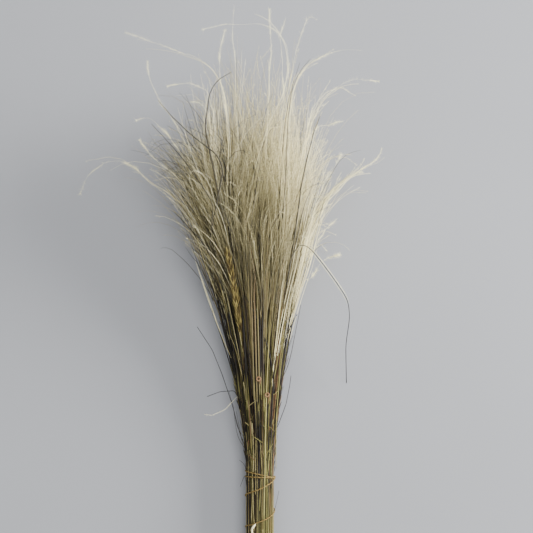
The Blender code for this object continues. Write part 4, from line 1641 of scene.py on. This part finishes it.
@dataclass
class Twine:
    """Jute twine of three plies: two upper loops, two turns down the waist and a lower loop."""

    form: Form
    coil_radius: float = 18.35 * MM
    ply_radius: float = 0.40 * MM
    ply_offset: float = 0.42 * MM
    pitch: float = 5.5 * MM
    points_per_turn: int = 110
    upper: float = 0.1194
    upper_rise: float = 8.3 * MM
    second_rise: float = 1.6 * MM
    lower: float = 0.046
    lower_rise: float = -3.0 * MM
    map_length: float = 0.7
    fuzz_per_mm: float = 1.6
    knot_size: float = 0.62 * MM
    # Turns made so far, and the station there
    winding: tuple = ((0, 0.1194), (0.17, 0.1104), (0.27, 0.1048), (0.37, 0.101), (0.5, 0.0975),
                      (1.0, 0.0786), (1.17, 0.0688), (1.26, 0.0647), (1.34, 0.0615), (1.5, 0.0585),
                      (2.0, 0.046))
    name: str = "twine"
    seed: int = 7

    def __post_init__(self) -> None:
        """Starts with no faces, and with a seeded random source."""
        self.sheet, self.rng = Sheet(), np.random.default_rng(self.seed)

    def course(self, turns: Array, station: Array) -> Array:
        """Points round the waist at a radius, one for each turn and station."""
        angle = 2 * np.pi * turns
        return np.column_stack([
            self.coil_radius * np.cos(angle), station - self.form.end_station,
            self.form.axis_z + self.coil_radius * np.sin(angle)])

    def add_laid(self, course: Array) -> None:
        """Three plies wound round a course, each a tube at an offset that turns with the length.

        Args:
            course: The twine's middle.
        """
        sheet, rng = self.sheet, self.rng
        run = np.r_[0, np.cumsum(np.linalg.norm(np.diff(course, axis=0), axis=1))]
        _, across, over = frames(course[None])
        plies = []
        for ply in range(3):
            turn = 2 * np.pi * (run / self.pitch + ply / 3)
            offset = np.cos(turn)[:, None] * across[0] + np.sin(turn)[:, None] * over[0]
            plies.append(course + self.ply_offset * offset)
        paths = np.stack(plies)
        along = np.broadcast_to(run / self.map_length, paths.shape[:2])
        radii = np.full(paths.shape[:2], self.ply_radius)
        add_tubes(sheet, paths, radii, np.array([0.35, 0.6, 0.8]), 6, along=along)
        fuzz = rng.random((3, int(run[-1] / MM * self.fuzz_per_mm)))
        length = rng.uniform(0.8, 2.6, fuzz.shape) * MM
        tone = np.array([0.8, 0.9, 0.95])
        add_hairs(sheet, paths, tone, fuzz, length, rng, 0, 0.07 * MM, (0.3, 1.2))

    def build(self, materials: dict[Finish, bpy.types.Material]) -> bpy.types.Object:
        """Makes the piece.

        Args:
            materials: The finishes.

        Returns:
            The piece that replaces the twine's node.
        """
        once = np.linspace(0, 1, self.points_per_turn)
        rise = (1 - np.cos(2 * np.pi * once)) / 2
        for station, high in ((self.upper, self.upper_rise), (self.upper, self.second_rise),
                              (self.lower, self.lower_rise)):
            self.add_laid(self.course(once, station + high * rise))
        turns = np.linspace(0, 2, 2 * self.points_per_turn)
        self.add_laid(self.course(turns, np.interp(turns, *zip(*self.winding))))
        for station in (self.upper, self.lower):
            self.add_knot(station)
        return self.sheet.piece("twine_laid", [materials[Finish.JUTE]])

    def add_knot(self, station: float) -> None:
        """An overhand knot: a trefoil course on the loop's right side."""
        t = np.linspace(0, 2 * np.pi, 70)
        centre = np.array([self.coil_radius, station - self.form.end_station, self.form.axis_z])
        x = 0.55 * np.sin(3 * t)
        y = np.sin(t) + 1.6 * np.sin(2 * t)
        z = np.cos(t) - 1.6 * np.cos(2 * t)
        self.add_laid(centre + self.knot_size * np.column_stack([x, y, z]))


# Setting

@dataclass(frozen=True)
class Studio:
    """A pale floor, soft light mostly from the right, and the camera that looks straight down."""

    form: Form
    frame_pixels: float = 533.0
    camera_height: float = 5.0
    middle_height: float = 0.05
    sensor: float = 36.0
    floor_size: float = 12.0
    floor_tones: tuple = ((140, 143, 150), (149, 152, 159))
    sky: tuple = (1.0, 0.985, 0.95, 1.0)
    sky_strength: float = 0.45
    aim: tuple = (0.0, 0.36, 0.03)
    # Each lamp: name, place, width, power in watts and colour
    lamps: tuple = (
        ("key", (0.8, 0.7, 2.7), 1.6, 75.0, (1.0, 0.98, 0.94)),
        ("rim", (2.4, 0.9, 0.75), 1.1, 240.0, (1.0, 0.98, 0.93)),
        ("fill", (-1.2, -0.2, 2.2), 2.6, 32.0, (1.0, 0.985, 0.95)),
    )

    def build(self) -> None:
        """Makes the floor, the lights and the camera."""
        self.add_floor()
        for lamp in self.lamps:
            self.add_area(*lamp)
        world = bpy.data.worlds.new("studio")
        bpy.context.scene.world = world
        world.use_nodes = True
        back = world.node_tree.nodes["Background"]
        back.inputs["Color"].default_value = self.sky
        back.inputs["Strength"].default_value = self.sky_strength
        self.add_camera()

    def add_floor(self) -> None:
        """A plain floor, faintly mottled."""
        half = self.floor_size / 2
        mesh = bpy.data.meshes.new("floor")
        corners = [(-half, -half, 0), (half, -half, 0), (half, half, 0), (-half, half, 0)]
        mesh.from_pydata(corners, [], [(0, 1, 2, 3)])
        graph = Graph("pale_floor")
        spot = graph.add("ShaderNodeTexCoord", {}, {}, "Object")
        cloud = graph.noise(spot, 2.5, 3.0)
        dark, light = (colour(*tone) for tone in self.floor_tones)
        graph.join(graph.mix(cloud, dark, light), graph.shader.inputs["Base Color"])
        graph.shader.inputs["Roughness"].default_value = 0.9
        mesh.materials.append(graph.material)
        floor = bpy.data.objects.new("floor", mesh)
        bpy.context.scene.collection.objects.link(floor)

    def add_area(self, name: str, place: tuple[float, float, float], size: float, power: float,
                 tint: tuple[float, float, float]) -> None:
        """A square soft light aimed at the head of the bunch.

        Args:
            name: The light's name.
            place: Where it stands.
            size: Its width.
            power: Its power in watts.
            tint: Its colour.
        """
        light = bpy.data.lights.new(name, "AREA")
        light.size, light.energy, light.color = size, power, tint
        lamp = bpy.data.objects.new(name, light)
        aim = np.array(self.aim) - np.array(place)
        lamp.location = place
        flat = math.hypot(aim[0], aim[1])
        lamp.rotation_euler = (math.atan2(flat, -aim[2]), 0.0, math.atan2(-aim[0], aim[1]))
        bpy.context.scene.collection.objects.link(lamp)

    def add_camera(self) -> None:
        """The camera: its frame spans the photograph's pixels at the bunch's middle height."""
        form = self.form
        centre = self.frame_pixels / 2
        span = self.frame_pixels * form.pixel
        data = bpy.data.cameras.new("camera")
        data.sensor_width = self.sensor
        data.lens = self.sensor * (self.camera_height - self.middle_height) / span
        camera = bpy.data.objects.new("camera", data)
        camera.location = ((centre - form.middle) * form.pixel,
                           (form.cut_row - centre) * form.pixel - form.end_station,
                           self.camera_height)
        bpy.context.scene.collection.objects.link(camera)
        bpy.context.scene.camera = camera


def mount(piece: bpy.types.Object, node: str) -> None:
    """Puts a piece on the model in place of its node, and logs it.

    Args:
        piece: The finished piece.
        node: The node that it stands for.
    """
    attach(piece, "root")
    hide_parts(node)
    piece.data.calc_loop_triangles()
    log.info("%s replaces %s: %d triangles", piece.name, node, len(piece.data.loop_triangles))


def main() -> None:
    """Grows the bunch, builds each piece and sets the scene."""
    logging.basicConfig(level=logging.INFO, format="%(message)s")
    form = Form()
    growth = Growth(form)
    growth.grow()
    materials = {finish: finish.make() for finish in Finish}
    for k in range(len(growth.sheaves)):
        culms, plume = Culms(form, growth, k), Plume(form, growth, k)
        mount(culms.build(materials), culms.name)
        mount(plume.build(materials), plume.name)
    twine = Twine(form)
    mount(twine.build(materials), twine.name)
    Studio(form).build()


if __name__ == "__main__":
    main()
